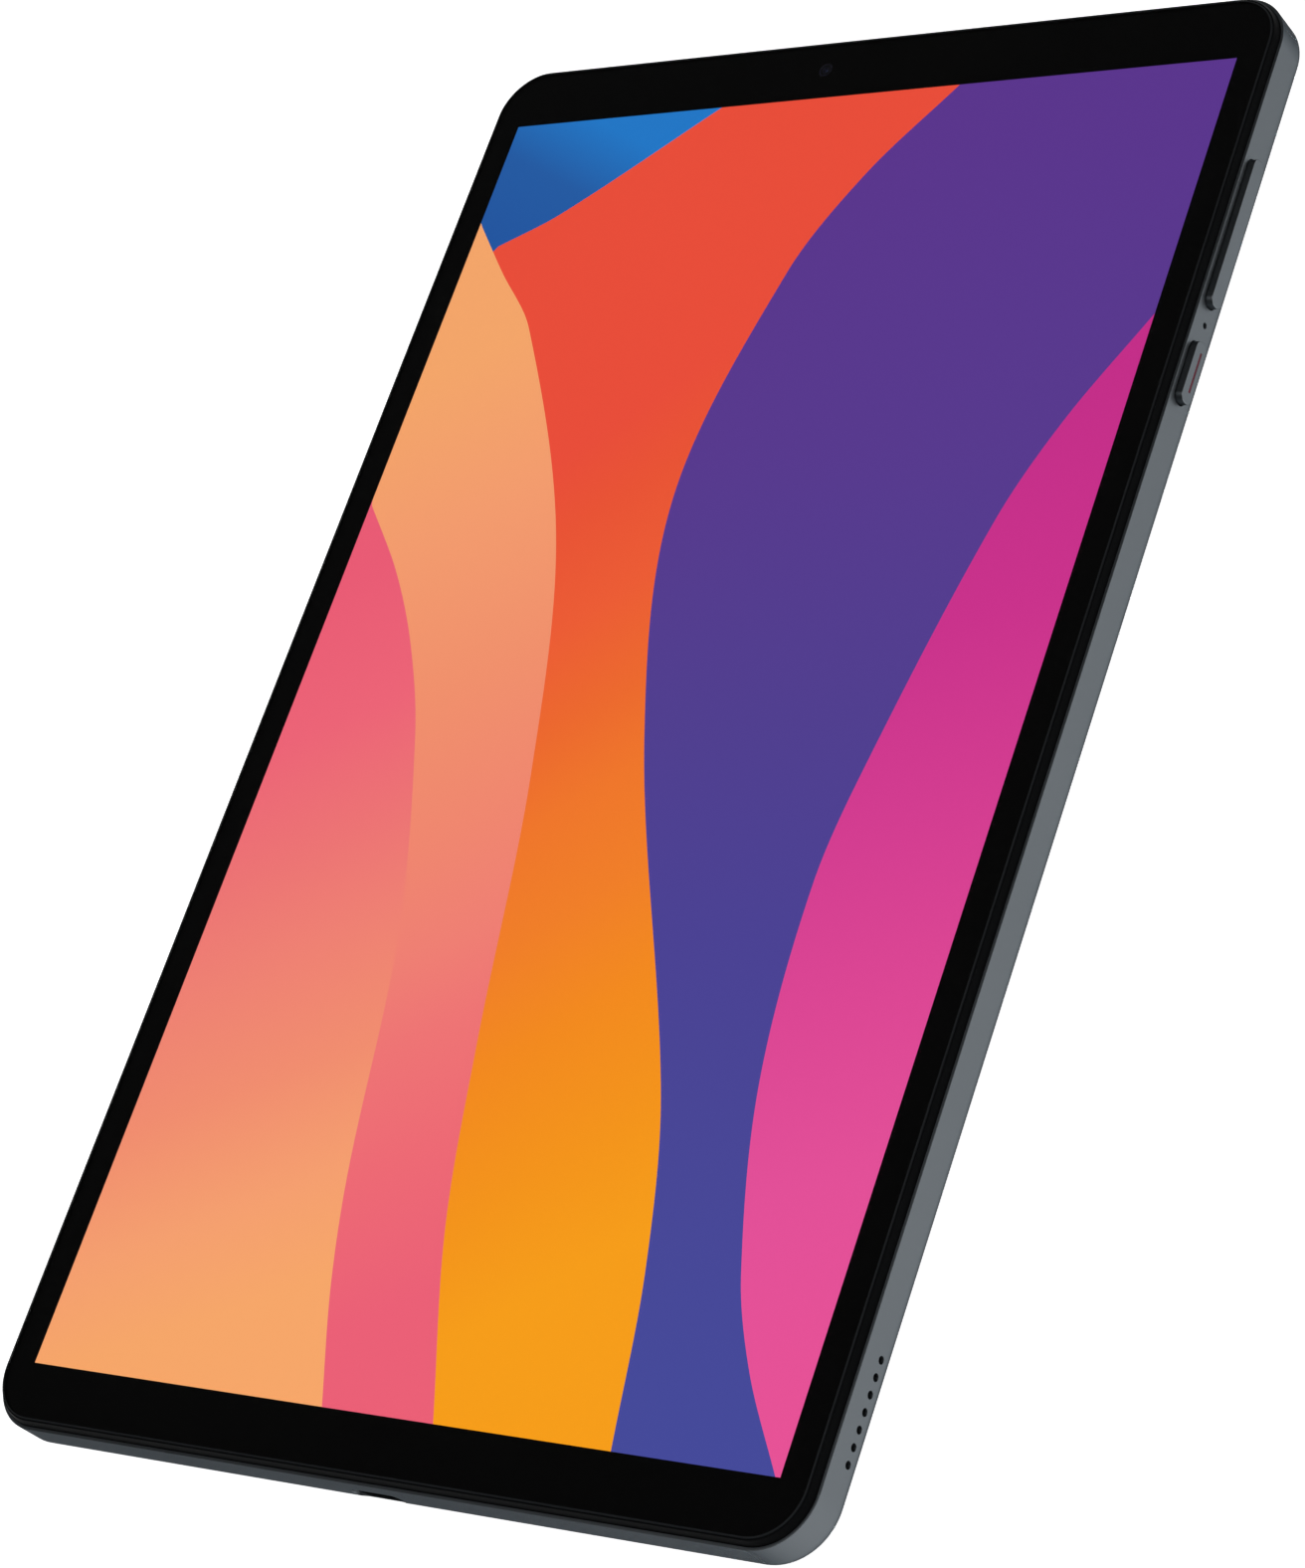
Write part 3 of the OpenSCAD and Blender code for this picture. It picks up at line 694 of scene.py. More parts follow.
FLEX_CIRCUIT = Finish("flex_circuit", "8a4a12", "a35a18", 0.0, (0.28, 0.4), 9000.0, 200.0,
                      pattern=Pattern.TRACES, pattern_scale=1600.0, pattern_colour="c47a2c",
                      pattern_bump=6 * MICRON)
GRAPHITE = Finish("graphite_sheet", "17181a", "242528", 0.6, (0.45, 0.6), 15000.0, 120.0, bump=2 * MICRON)
PORT_STEEL = Finish("port_shell", "141516", "1c1d1f", 1.0, (0.4, 0.5), 12000.0, 500.0, edge_tint="303030",
                    pattern=Pattern.BRUSHED, pattern_scale=6000.0, pattern_colour="202224")
PORT_TONGUE = Finish("port_tongue", "0b0b0c", "131315", 0.0, (0.42, 0.55), 20000.0, 800.0, bump=MICRON)
CONTACT_GOLD = Finish("contact_gold", "b8873a", "cfa050", 1.0, (0.2, 0.3), 20000.0, 900.0)
SPEAKER_BOX = Finish("speaker_box", "121214", "1a1a1d", 0.0, (0.5, 0.65), 9000.0, 150.0, bump=3 * MICRON)
DUST_MESH = Finish("dust_mesh", "040404", "070707", 0.0, (0.6, 0.75), 20000.0, 300.0,
                   specular=0.1, pattern=Pattern.WEAVE, pattern_scale=7000.0, pattern_colour="151515",
                   pattern_bump=20 * MICRON)
SWITCH_METAL = Finish("switch_metal", "a08850", "b89c5c", 1.0, (0.25, 0.35), 12000.0, 700.0, wear=4.0)
CAPSULE_METAL = Finish("capsule_metal", "a88a4c", "c0a05a", 1.0, (0.28, 0.4), 12000.0, 700.0, wear=4.0)
RUBBER = Finish("soft_rubber", "0d0d0e", "161617", 0.0, (0.65, 0.8), 9000.0, 300.0, bump=4 * MICRON)
SOCKET_PLASTIC = Finish("socket_plastic", "0d0d0f", "151518", 0.0, (0.35, 0.5), 12000.0, 300.0, bump=MICRON)
CAMERA_PLASTIC = Finish("camera_plastic", "040405", "08080a", 0.0, (0.4, 0.55), 14000.0, 500.0,
                        bump=MICRON, specular=0.1)
# Lighter bluish colour on the front camera barrel's top rings: a painted glint standing in for the ring of
# light reflected on the barrel.
CAMERA_RINGS_PAINTED_GLINT = Finish("camera_rings_painted_glint", "34344e", "3c3c5a", 0.0, (0.16, 0.24), 14000.0, 500.0, specular=0.6)
CAMERA_COATING = Finish("lens_coating", "5f6ca8", "7280b8", 1.0, (0.04, 0.1), 2000.0, 500.0,
                        coat=0.6)
LED_CERAMIC = Finish("led_ceramic", "c9b64a", "e0d070", 0.0, (0.4, 0.5), 14000.0, 900.0, bump=2 * MICRON)
FLASH_DIFFUSER = Finish("flash_diffuser", "d8d4c4", "ece8da", 0.0, (0.2, 0.3), 9000.0, 600.0, coat=0.5)
AERIAL = Finish("aerial_carrier", "b5a98a", "c9bea0", 0.0, (0.45, 0.6), 9000.0, 120.0,
                pattern=Pattern.TRACES, pattern_scale=220.0, pattern_colour="c08b45",
                pattern_bump=20 * MICRON)
INLAY_LACQUER = Finish("inlay_lacquer", "5a0a24", "680c2a", 0.0, (0.34, 0.46), 20000.0, 900.0, specular=0.1)
COVER_GLASS = ClearFinish("cover_glass_clear")
CAMERA_GLASS = ClearFinish("camera_window_glass", "e8ecf4", 1.52)


# ---------------------------------------------------------------- pieces


def add_piece(made: bpy.types.Object, body: str, slot: str, finish: object, *nodes: str) -> bpy.types.Object:
    """Dress a new piece, hang it on its body and name the nodes it stands for.

    Args:
        made: The piece.
        body: The CAD body it moves with.
        slot: The record's material slot for it; not used.
        finish: Its finish.
        nodes: CAD nodes that it replaces.

    Returns:
        The same piece.
    """
    made.data.materials.append(finish.material())
    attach(made, body)
    if nodes:
        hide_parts(*nodes)
    log.info("%s rides on %s, finish %s, for %s", made.name, body, finish.name, nodes or "itself")
    return made


def plug(outline: Outline, axis: Axis, centre: Point, section: list[Point]) -> bmesh.types.BMesh:
    """Return a new mesh with one capped sweep in it."""
    bm = bmesh.new()
    sweep(bm, outline, axis, centre, section)
    return bm


def mouth_cutter(
    outline: Outline, axis: Axis, centre: Point, face: float, outward: int, depth: float, flare: float,
) -> bmesh.types.BMesh:
    """Make the cutter of an opening whose rim is softened.

    Args:
        outline: The opening's outline.
        axis: The direction through the wall.
        centre: The opening's middle across that direction.
        face: Where the wall's outer face lies along the axis.
        outward: +1 if the axis leaves the wall there, or -1.
        depth: How far the cutter reaches in from the face.
        flare: The radius of the softened rim.

    Returns:
        A closed mesh.
    """
    past = 0.6 * MM
    section = [(0.0, face - outward * depth)]
    steps = 3
    for k in range(steps + 1):
        turn = math.radians(90 * k / steps)
        grow = flare * (1 - math.cos(turn))
        section.append((grow, face - outward * flare * (1 - math.sin(turn))))
    section.append((flare, face + outward * past))
    return plug(outline, axis, centre, section)


@dataclass
class Housing:
    """The machined tray: back, rounded rear edge, side walls and every opening."""

    corner: float = 9 * MM
    rear_edge: float = 1.8 * MM
    back: float = 0.9 * MM
    wall: float = 1.3 * MM
    rim: float = 0.47 * MM
    rebate_z: float = 6.0 * MM
    rim_edge: float = 0.06 * MM
    key_height: float = 2.8 * MM
    key_radius: float = 1.2 * MM
    power_length: float = 10.0 * MM
    key_clear: float = 0.12 * MM
    usb_size: Point = (9.3 * MM, 3.2 * MM)
    speaker_count: int = 7
    speaker_pitch: float = 2.42 * MM
    speaker_radius: float = 0.58 * MM
    microphone_radius: float = 0.48 * MM
    tray_clear: float = 0.12 * MM
    tray_radius: float = 1.0 * MM
    headphone_radius: float = 2.08 * MM
    boss_radius: float = 1.9 * MM
    board_boss_radius: float = 1.7 * MM
    boss_bore: float = 0.65 * MM
    fit: float = 0.02 * MM

    def __post_init__(self) -> None:
        """Read the outer size from the frame."""
        low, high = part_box("rear_housing")
        self.half_width = high.x
        self.half_length = high.y
        self.rim_z = high.z
        self.outline = Outline(2 * high.x, 2 * high.y, self.corner, 20)

    def shell(self) -> bmesh.types.BMesh:
        """Return the tray before its openings are cut."""
        section = rounded([
            (-self.wall - 0.9 * MM, 0, 0),
            (-self.rear_edge, 0, 0),
        ])
        for k in range(1, 13):
            turn = math.radians(90 * k / 12)
            section.append((self.rear_edge * (math.sin(turn) - 1), self.rear_edge * (1 - math.cos(turn))))
        section += rounded([
            (0, self.rear_edge + 0.4 * MM, 0),
            (0, self.rim_z, self.rim_edge),
            (-self.rim, self.rim_z, self.rim_edge / 2),
            (-self.rim, self.rebate_z, 0),
            (-self.wall, self.rebate_z, 0.03 * MM),
            (-self.wall, self.back, 0.3 * MM),
            (-self.wall - 0.9 * MM, self.back, 0),
        ], steps=3)
        return plug(self.outline, Axis.Z, (0, 0), section)

    def side_cutters(self) -> list[bmesh.types.BMesh]:
        """Return the cutters of the keys, the microphone, the speakers and the card tray."""
        face = self.half_width
        deep = self.wall + 0.6 * MM
        volume_low, volume_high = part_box("volume_key")
        volume = middle_of("volume_key")
        power = middle_of("power_key")
        grown = self.key_height + 2 * self.key_clear
        cutters = []
        for spot, length in ((volume, volume_high.y - volume_low.y), (power, self.power_length)):
            outline = Outline(length + 2 * self.key_clear, grown, self.key_radius + self.key_clear, 8)
            cutters.append(mouth_cutter(outline, Axis.X, (spot.y, spot.z), face, 1, deep, 0.08 * MM))
        mic = middle_of("microphone_gasket")
        cutters.append(mouth_cutter(disc(self.microphone_radius, 6), Axis.X, (mic.y, mic.z), face, 1,
                                    deep, 0.03 * MM))
        for outward, node in ((1, "speaker_mesh_right"), (-1, "speaker_mesh_left")):
            row = middle_of(node)
            for i in range(self.speaker_count):
                y = row.y + (i - (self.speaker_count - 1) / 2) * self.speaker_pitch
                cutters.append(mouth_cutter(disc(self.speaker_radius, 6), Axis.X, (y, row.z),
                                            outward * face, outward, deep, 0.04 * MM))
        tray_low, tray_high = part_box("card_tray")
        tray = middle_of("card_tray")
        slot = Outline(tray_high.y - tray_low.y + 2 * self.tray_clear,
                       tray_high.z - tray_low.z + 2 * self.tray_clear,
                       self.tray_radius + self.tray_clear, 8)
        cutters.append(mouth_cutter(slot, Axis.X, (tray.y, tray.z), -face, -1, deep, 0.06 * MM))
        return cutters

    def end_and_back_cutters(self) -> list[bmesh.types.BMesh]:
        """Return the cutters of the two ports, the camera and the flash."""
        face = self.half_length
        deep = self.wall + 0.6 * MM
        usb = middle_of("usb_c_receptacle")
        width, height = self.usb_size
        cutters = [mouth_cutter(Outline(width, height, height / 2, 8), Axis.Y, (usb.x, usb.z), -face, -1,
                                deep, 0.05 * MM)]
        jack = middle_of("headphone_socket")
        cutters.append(mouth_cutter(disc(self.headphone_radius, 8), Axis.Y, (jack.x, jack.z), face, 1,
                                    deep, 0.12 * MM))
        for node in ("rear_camera_ring", "flash_window"):
            low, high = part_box(node)
            spot = middle_of(node)
            radius = (high.x - low.x) / 2 + self.fit
            cutters.append(mouth_cutter(disc(radius, 10), Axis.Z, (spot.x, spot.y), 0.0, -1,
                                        self.back + 0.5 * MM, 0.05 * MM))
        return cutters

    def bosses(self, bm: bmesh.types.BMesh) -> None:
        """Add the hollow bosses that the screws go into."""
        rest_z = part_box("mid_frame")[0].z - self.fit
        board_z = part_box("mainboard")[0].z - self.fit
        for node, radius, top in (("frame_screws", self.boss_radius, rest_z),
                                  ("board_screws", self.board_boss_radius, board_z)):
            for low, high in loose_boxes(node):
                centre = ((low.x + high.x) / 2, (low.y + high.y) / 2)
                inner = self.boss_bore - radius
                section = rounded([
                    (0, self.back - 0.1 * MM, 0), (0, top, 0.08 * MM),
                    (inner, top, 0.05 * MM), (inner, self.back - 0.1 * MM, 0),
                ], steps=2)
                sweep(bm, disc(radius, 6), Axis.Z, centre, section, closed=True)

    def build(self) -> None:
        """Make the housing."""
        cut = carve(self.shell(), self.side_cutters() + self.end_and_back_cutters())
        self.bosses(cut)
        made = to_object("housing_shell", cut, 35)
        add_piece(made, "tablet", "housing_metal", HOUSING, "rear_housing")


@dataclass
class Front:
    """The black frame round the glass, the glass and the printed border."""

    corner: float = 9 * MM
    lip: float = 0.15 * MM
    glass_edge: float = 0.28 * MM
    bevel_tilt: tuple[float, float] = (0.05, 0.996)

    def build_frame(self) -> None:
        """Make the frame: skirt, softly crowned slope, lip and ledge."""
        low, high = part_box("front_frame")
        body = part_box("rear_housing")[1]
        glass_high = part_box("cover_glass")[1]
        rim_z = body.z
        side = high.x - body.x
        lip = glass_high.x - body.x + 0.02 * MM
        film_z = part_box("glass_adhesive")[0].z - 0.01 * MM
        section = rounded([
            (side, low.z, 0.03 * MM),
            (side, rim_z + 0.02 * MM, 0.05 * MM),
            (side - 0.20 * MM, rim_z + 0.62 * MM, 0.4 * MM),
            (lip + self.lip, high.z, 0.12 * MM),
            (lip, high.z, 0.03 * MM),
            (lip, film_z, 0.02 * MM),
            (lip - 2.3 * MM, film_z, 0.05 * MM),
            (lip - 2.3 * MM, film_z - 0.62 * MM, 0.05 * MM),
            (side - 1.1 * MM, film_z - 0.62 * MM, 0.05 * MM),
            (side - 1.1 * MM, low.z, 0.03 * MM),
        ], closed=True, steps=4)
        bm = bmesh.new()
        outline = Outline(2 * body.x, 2 * body.y, self.corner, 20)
        sweep(bm, outline, Axis.Z, (0, 0), section, closed=True)
        made = to_object("black_front_frame", bm, 40)
        add_piece(made, "tablet", "frame_plastic", FRAME_BLACK, "front_frame")

    def build_glass(self) -> None:
        """Make the cover glass, with a ground and polished edge all round."""
        low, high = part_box("cover_glass")
        outline = Outline(2 * high.x, 2 * high.y, self.corner - (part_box("rear_housing")[1].x - high.x), 20)
        section = rounded([
            (-0.05 * MM, low.z, 0), (0, low.z + 0.05 * MM, 0.0), (0, high.z, self.glass_edge),
            (-self.glass_edge - 0.02 * MM, high.z, 0),
        ], steps=6)
        made = to_object("front_glass", plug(outline, Axis.Z, (0, 0), section), 50)
        add_piece(made, "tablet", "cover_glass", COVER_GLASS, "cover_glass")
        made.data.materials.append(GROUND_EDGE.material())
        for face in made.data.polygons:
            if self.bevel_tilt[0] < face.normal.z < self.bevel_tilt[1]:
                face.material_index = 1

    def dress_nodes(self) -> None:
        """Give the layers under the glass their finishes."""
        dress_node("printed_border", BORDER_INK)
        dress_node("glass_adhesive", ADHESIVE)


def dress_node(node: str, finish: object) -> None:
    """Give a CAD node that stays in view its finish."""
    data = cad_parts[node].data
    if not data.materials:
        data.materials.append(None)
    for index in range(len(data.materials)):
        data.materials[index] = finish.material()
    log.info("%s keeps its CAD shape, finish %s", node, finish.name)


@dataclass
class Edge:
    """A border between two bands of the picture, as a smooth curve through points."""

    points: tuple[Point, ...]

    def at(self, height: float) -> float:
        """Give the border's place across the screen at a height.

        Args:
            height: The height on the screen, from 0 at its foot to 1.

        Returns:
            The distance from the left side, as a share of the width.
        """
        first, last = self.points[0], self.points[-1]
        if height <= first[1]:
            return first[0]
        if height >= last[1]:
            return last[0]
        for i in range(len(self.points) - 1):
            (u0, v0), (u1, v1) = self.points[i], self.points[i + 1]
            if v0 <= height <= v1:
                before = self.points[max(i - 1, 0)]
                after = self.points[min(i + 2, len(self.points) - 1)]
                slope0 = (u1 - before[0]) / (v1 - before[1])
                slope1 = (after[0] - u0) / (after[1] - v0)
                t = (height - v0) / (v1 - v0)
                span = v1 - v0
                h00 = 2 * t**3 - 3 * t**2 + 1
                h10 = t**3 - 2 * t**2 + t
                h01 = -2 * t**3 + 3 * t**2
                h11 = t**3 - t**2
                return h00 * u0 + h10 * span * slope0 + h01 * u1 + h11 * span * slope1
        return last[0]


@dataclass
class Screen:
    """The lit picture: plain bands of colour with flowing borders."""

    width: float = 138.6 * MM
    length: float = 221.8 * MM
    drop: float = 0.8 * MM
    rows: int = 220
    edges: dict[str, Edge] = field(default_factory=lambda: {
        "rose": Edge(((0.42, 0.0), (0.373, 0.08), (0.34, 0.157), (0.287, 0.33), (0.204, 0.48),
                      (0.146, 0.552), (0.081, 0.612), (0.0, 0.67))),
        "peach": Edge(((0.57, 0.0), (0.496, 0.128), (0.45, 0.256), (0.39, 0.453), (0.30, 0.64),
                       (0.14, 0.817), (0.064, 0.868), (0.0, 0.913))),
        "blue": Edge(((0.04, 0.89), (0.12, 0.915), (0.31, 1.0))),
        "orange": Edge(((0.797, 0.0), (0.765, 0.116), (0.71, 0.232), (0.526, 0.485), (0.448, 0.67),
                        (0.494, 0.85), (0.556, 0.93), (0.644, 1.0))),
        "violet": Edge(((0.994, 0.0), (0.927, 0.06), (0.88, 0.12), (0.826, 0.244), (0.81, 0.38),
                        (0.826, 0.467), (0.885, 0.645), (0.93, 0.72), (1.0, 0.80))),
    })
    finishes: tuple[LitFinish, ...] = (
        LitFinish("lit_rose", ((0.02, "f6a669"), (0.10, "f59f6f"), (0.2, "f18d6f"), (0.31, "ef8073"),
                               (0.39, "ed7474"), (0.5, "ed6477"), (0.64, "ea5b75")), 0.27, 0.12),
        LitFinish("lit_peach", ((0.02, "ea5f76"), (0.14, "ed6974"), (0.24, "ee7474"), (0.31, "ef7f73"),
                                (0.40, "f0866f"), (0.54, "f1906c"), (0.70, "f49c6e"), (0.86, "f5a66a")),
                  0.3, 0.3),
        LitFinish("lit_blue", ((0.86, "2255a0"), (0.94, "245ba3"), (1.0, "2277c6")), -0.3, 0.12),
        LitFinish("lit_orange", ((0.02, "f59c18"), (0.12, "f39319"), (0.24, "f2891d"), (0.34, "f07e27"),
                                 (0.44, "ef762a"), (0.52, "ec692d"), (0.62, "ec5c34"), (0.72, "e95334"),
                                 (0.80, "e94d39")), 0.45, 0.48),
        LitFinish("lit_violet", ((0.02, "444999"), (0.18, "474696"), (0.34, "4a4193"), (0.50, "503e8f"),
                                 (0.70, "57398e"), (0.95, "5a358d")), 0.0, 0.7),
        LitFinish("lit_magenta", ((0.02, "e55195"), (0.18, "e14f97"), (0.30, "db4693"), (0.42, "d33d90"),
                                  (0.58, "c9318b"), (0.74, "c32d88")), 0.18, 0.93),
    )

    def breaks(self, height: float) -> list[float]:
        """List the places where the bands change at a height, from left to right."""
        rose = max(self.edges["rose"].at(height), 0.0)
        peach = max(self.edges["peach"].at(height), 0.0)
        blue = self.edges["blue"].at(height) if height > 0.89 else peach
        orange = self.edges["orange"].at(height)
        violet = min(self.edges["violet"].at(height), 1.0)
        places = [0.0, rose, peach, max(blue, peach), orange, violet, 1.0]
        return places

    def build(self) -> None:
        """Make the picture as one sheet, with a region for each band."""
        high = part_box("lcd_panel")[1]
        z = high.z + 0.008 * MM
        bm = bmesh.new()
        sheet = bm.loops.layers.uv.new("screen")
        heights = [i / self.rows for i in range(self.rows + 1)]

        def spot(u: float, v: float) -> Vector:
            """Return the point at a share of the screen's width and length."""
            return Vector(((u - 0.5) * self.width, (v - 0.5) * self.length - self.drop, z))

        lines = [[(u, v) for u in self.breaks(v)] for v in heights]
        grid = [[bm.verts.new(spot(u, v)) for u, v in line] for line in lines]
        for row in range(self.rows):
            for band in range(6):
                corners = ((row, band), (row, band + 1), (row + 1, band + 1), (row + 1, band))
                foot = lines[row][band + 1][0] - lines[row][band][0]
                head = lines[row + 1][band + 1][0] - lines[row + 1][band][0]
                if foot < 1e-6 and head < 1e-6:
                    continue
                if foot < 1e-6:
                    corners = (corners[0], corners[2], corners[3])
                elif head < 1e-6:
                    corners = corners[:3]
                face = bm.faces.new([grid[i][k] for i, k in corners])
                face.material_index = band
                for loop, (i, k) in zip(face.loops, corners):
                    loop[sheet].uv = lines[i][k]
        loose = [v for v in bm.verts if not v.link_faces]
        bmesh.ops.delete(bm, geom=loose, context="VERTS")
        bmesh.ops.remove_doubles(bm, verts=bm.verts, dist=MICRON)
        mesh = bpy.data.meshes.new("screen_picture")
        bm.to_mesh(mesh)
        bm.free()
        made = bpy.data.objects.new("screen_picture", mesh)
        bpy.context.scene.collection.objects.link(made)
        for finish in self.finishes:
            mesh.materials.append(finish.material())
        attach(made, "tablet")
        log.info("screen_picture rides on tablet with %d bands", len(self.finishes))


@dataclass
class Keys:
    """The two side keys: caps with soft edges, plates, stubs and the coloured line."""

    height: float = 2.8 * MM
    radius: float = 1.2 * MM
    power_length: float = 10.0 * MM
    soft: float = 0.1 * MM
    plate_height: float = 3.1 * MM
    volume_plate: float = 7.0 * MM
    power_plate: float = 12.4 * MM
    plate: float = 0.6 * MM
    stub_reach: float = 8.5 * MM
    line_height: float = 0.38 * MM

    def cap(self, length: float, middle: Vector, inner: float, outer: float) -> bmesh.types.BMesh:
        """Make a cap that runs from the plate out to its face."""
        outline = Outline(length, self.height, self.radius, 8)
        section = rounded([
            (-0.3 * MM, inner, 0), (0, inner, 0.0), (0, outer, self.soft),
            (-self.soft - 0.05 * MM, outer, 0),
        ], steps=4)
        return plug(outline, Axis.X, (middle.y, middle.z), section)

    def backing(self, bm: bmesh.types.BMesh, middle: Vector, x: float, plate: float) -> None:
        """Add the plate behind a cap."""
        half = Vector((0, plate / 2, self.plate_height / 2))
        spot = Vector((x, middle.y, middle.z))
        add_block(bm, spot - half, spot + half + Vector((self.plate, 0, 0)), 0.1 * MM)

    def build(self) -> None:
        """Make both keys and the coloured line."""
        plate_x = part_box("rear_housing")[1].x - 2.05 * MM
        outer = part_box("power_key")[1].x
        stub_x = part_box("power_key")[0].x
        inner = plate_x + self.plate - 0.1 * MM
        volume = middle_of("volume_key")
        volume_low, volume_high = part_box("volume_key")
        bm = self.cap(volume_high.y - volume_low.y, volume, inner, outer)
        self.backing(bm, volume, plate_x, self.volume_plate)
        for sign in (-1, 1):
            spot = Vector((stub_x, volume.y + sign * self.stub_reach, volume.z))
            half = Vector((0, 0.8 * MM, 0.7 * MM))
            add_block(bm, spot - half, spot + half + Vector((1.1 * MM, 0, 0)), 0.1 * MM)
        add_piece(to_object("volume_rocker", bm, 40), "volume_key", "key_metal", KEY_METAL, "volume_key")
        power = middle_of("power_key")
        groove_low, groove_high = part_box("power_key_inlay")
        groove = (groove_low + groove_high) / 2
        size = groove_high - groove_low
        size.z = self.line_height
        cutter = plug(Outline(size.y + 0.04 * MM, size.z + 0.04 * MM, size.z / 2, 4), Axis.X,
                      (groove.y, groove.z), [(0, groove_low.x - 0.02 * MM), (0, outer - 0.03 * MM),
                                             (0.03 * MM, outer), (0.03 * MM, outer + MM)])
        bm = carve(self.cap(self.power_length, power, inner, outer), [cutter])
        self.backing(bm, power, plate_x, self.power_plate)
        spot = Vector((stub_x, power.y, power.z))
        half = Vector((0, 0.8 * MM, 0.7 * MM))
        add_block(bm, spot - half, spot + half + Vector((0.4 * MM, 0, 0)), 0.1 * MM)
        add_piece(to_object("power_button", bm, 40), "power_key", "key_metal", KEY_METAL, "power_key")
        strip = plug(Outline(size.y, size.z, size.z / 2, 4), Axis.X, (groove.y, groove.z), rounded([
            (-0.08 * MM, groove_low.x, 0), (0, groove_low.x, 0.0), (0, groove_high.x, 0.06 * MM),
            (-0.1 * MM, groove_high.x, 0)], steps=3))
        add_piece(to_object("power_button_line", strip, 40), "power_key", "key_inlay", INLAY_LACQUER,
                  "power_key_inlay")

    def dress_nodes(self) -> None:
        """Give the switches behind the keys their finishes."""
        dress_node("key_bracket", SHEET_STEEL)
        dress_node("key_flex", FLEX_CIRCUIT)
        dress_node("dome_switches", SWITCH_METAL)
        dress_node("side_microphone", CAPSULE_METAL)
        dress_node("microphone_gasket", RUBBER)


@dataclass
class UsbPort:
    """The USB-C port: drawn shell with a rolled mouth, tongue and two rows of contacts."""

    mouth: Point = (8.34 * MM, 2.56 * MM)
    back: float = 0.9 * MM
    contacts: int = 12
    contact_pitch: float = 0.5 * MM
    contact_width: float = 0.26 * MM

    def build(self) -> None:
        """Make the shell, the tongue and its contacts."""
        low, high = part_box("usb_c_receptacle")
        middle = middle_of("usb_c_receptacle")
        width, height = high.x - low.x, high.z - low.z
        inner = (self.mouth[1] - height) / 2
        outline = Outline(width, height, height / 2, 8)
        section = rounded([
            (-height / 2 + 0.1 * MM, high.y, 0), (0, high.y, 0.25 * MM), (0, low.y, 0.06 * MM),
            (inner, low.y, 0.1 * MM), (inner, high.y - self.back, 0.15 * MM),
            (-height / 2 + 0.1 * MM, high.y - self.back, 0),
        ], steps=3)
        made = to_object("usb_c_shell", plug(outline, Axis.Y, (middle.x, middle.z), section), 40)
        add_piece(made, "tablet", "port_shell", PORT_STEEL, "usb_c_receptacle")
        tongue_low, tongue_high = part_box("usb_c_tongue")
        tongue = middle_of("usb_c_tongue")
        size = tongue_high - tongue_low
        section = rounded([
            (-0.2 * MM, tongue_low.y, 0), (0, tongue_low.y + 0.2 * MM, 0.1 * MM),
            (0, tongue_high.y, 0), (-0.2 * MM, tongue_high.y, 0),
        ], steps=3)
        bm = plug(Outline(size.x, size.z, 0.12 * MM, 3), Axis.Y, (tongue.x, tongue.z), section)
        add_piece(to_object("usb_c_tongue_body", bm, 40), "tablet", "port_tongue", PORT_TONGUE,
                  "usb_c_tongue")
        bm = bmesh.new()
        for face in (-1, 1):
            for i in range(self.contacts):
                x = tongue.x + (i - (self.contacts - 1) / 2) * self.contact_pitch
                z = tongue.z + face * size.z / 2
                half = Vector((self.contact_width / 2, 0, 0.02 * MM))
                start = Vector((x, tongue_low.y + 0.45 * MM, z))
                end = Vector((x, tongue_high.y - 0.6 * MM, z))
                add_block(bm, start - half, end + half, 0.01 * MM)
        add_piece(to_object("usb_c_contacts", bm, 40), "tablet", "port_shell", CONTACT_GOLD)

    def dress_nodes(self) -> None:
        """Give the port's board its finish."""
        dress_node("usb_board", CIRCUIT_BOARD)
        dress_node("board_link_flex", FLEX_CIRCUIT)


@dataclass
class Sound:
    """Speakers, their dust meshes and the headphone socket."""

    bore: float = 1.78 * MM
    collar: float = 2.03 * MM

    def build(self) -> None:
        """Make the collar round the mouth of the headphone socket and its contact springs."""
        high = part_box("headphone_socket")[1]
        spot = middle_of("headphone_socket")
        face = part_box("rear_housing")[1].y
        bm = bmesh.new()
        section = rounded([
            (0, high.y + 0.02 * MM, 0.02 * MM), (0, face - 0.1 * MM, 0.05 * MM),
            (self.bore - self.collar, face - 0.1 * MM, 0.12 * MM),
            (self.bore - self.collar, high.y + 0.02 * MM, 0.02 * MM),
        ], closed=True, steps=3)
        sweep(bm, disc(self.collar, 10), Axis.Y, (spot.x, spot.z), section, closed=True)
        add_piece(to_object("headphone_collar", bm, 40), "tablet", "port_shell", RING_METAL)
        bm = bmesh.new()
        for index, depth in enumerate((3.0, 6.0, 9.5)):
            side = -1 if index % 2 else 1
            at = Vector((spot.x + side * (self.bore - 0.16 * MM), high.y - depth * MM, spot.z))
            half = Vector((0.12 * MM, 0.9 * MM, 0.45 * MM))
            add_block(bm, at - half, at + half, 0.08 * MM)
        add_piece(to_object("headphone_springs", bm, 40), "tablet", "port_shell", CONTACT_GOLD)

    def dress_nodes(self) -> None:
        """Give the speakers, meshes and socket their finishes."""
        for side in ("right", "left"):
            dress_node(f"speaker_{side}", SPEAKER_BOX)
            dress_node(f"speaker_mesh_{side}", DUST_MESH)
        dress_node("headphone_socket", SOCKET_PLASTIC)


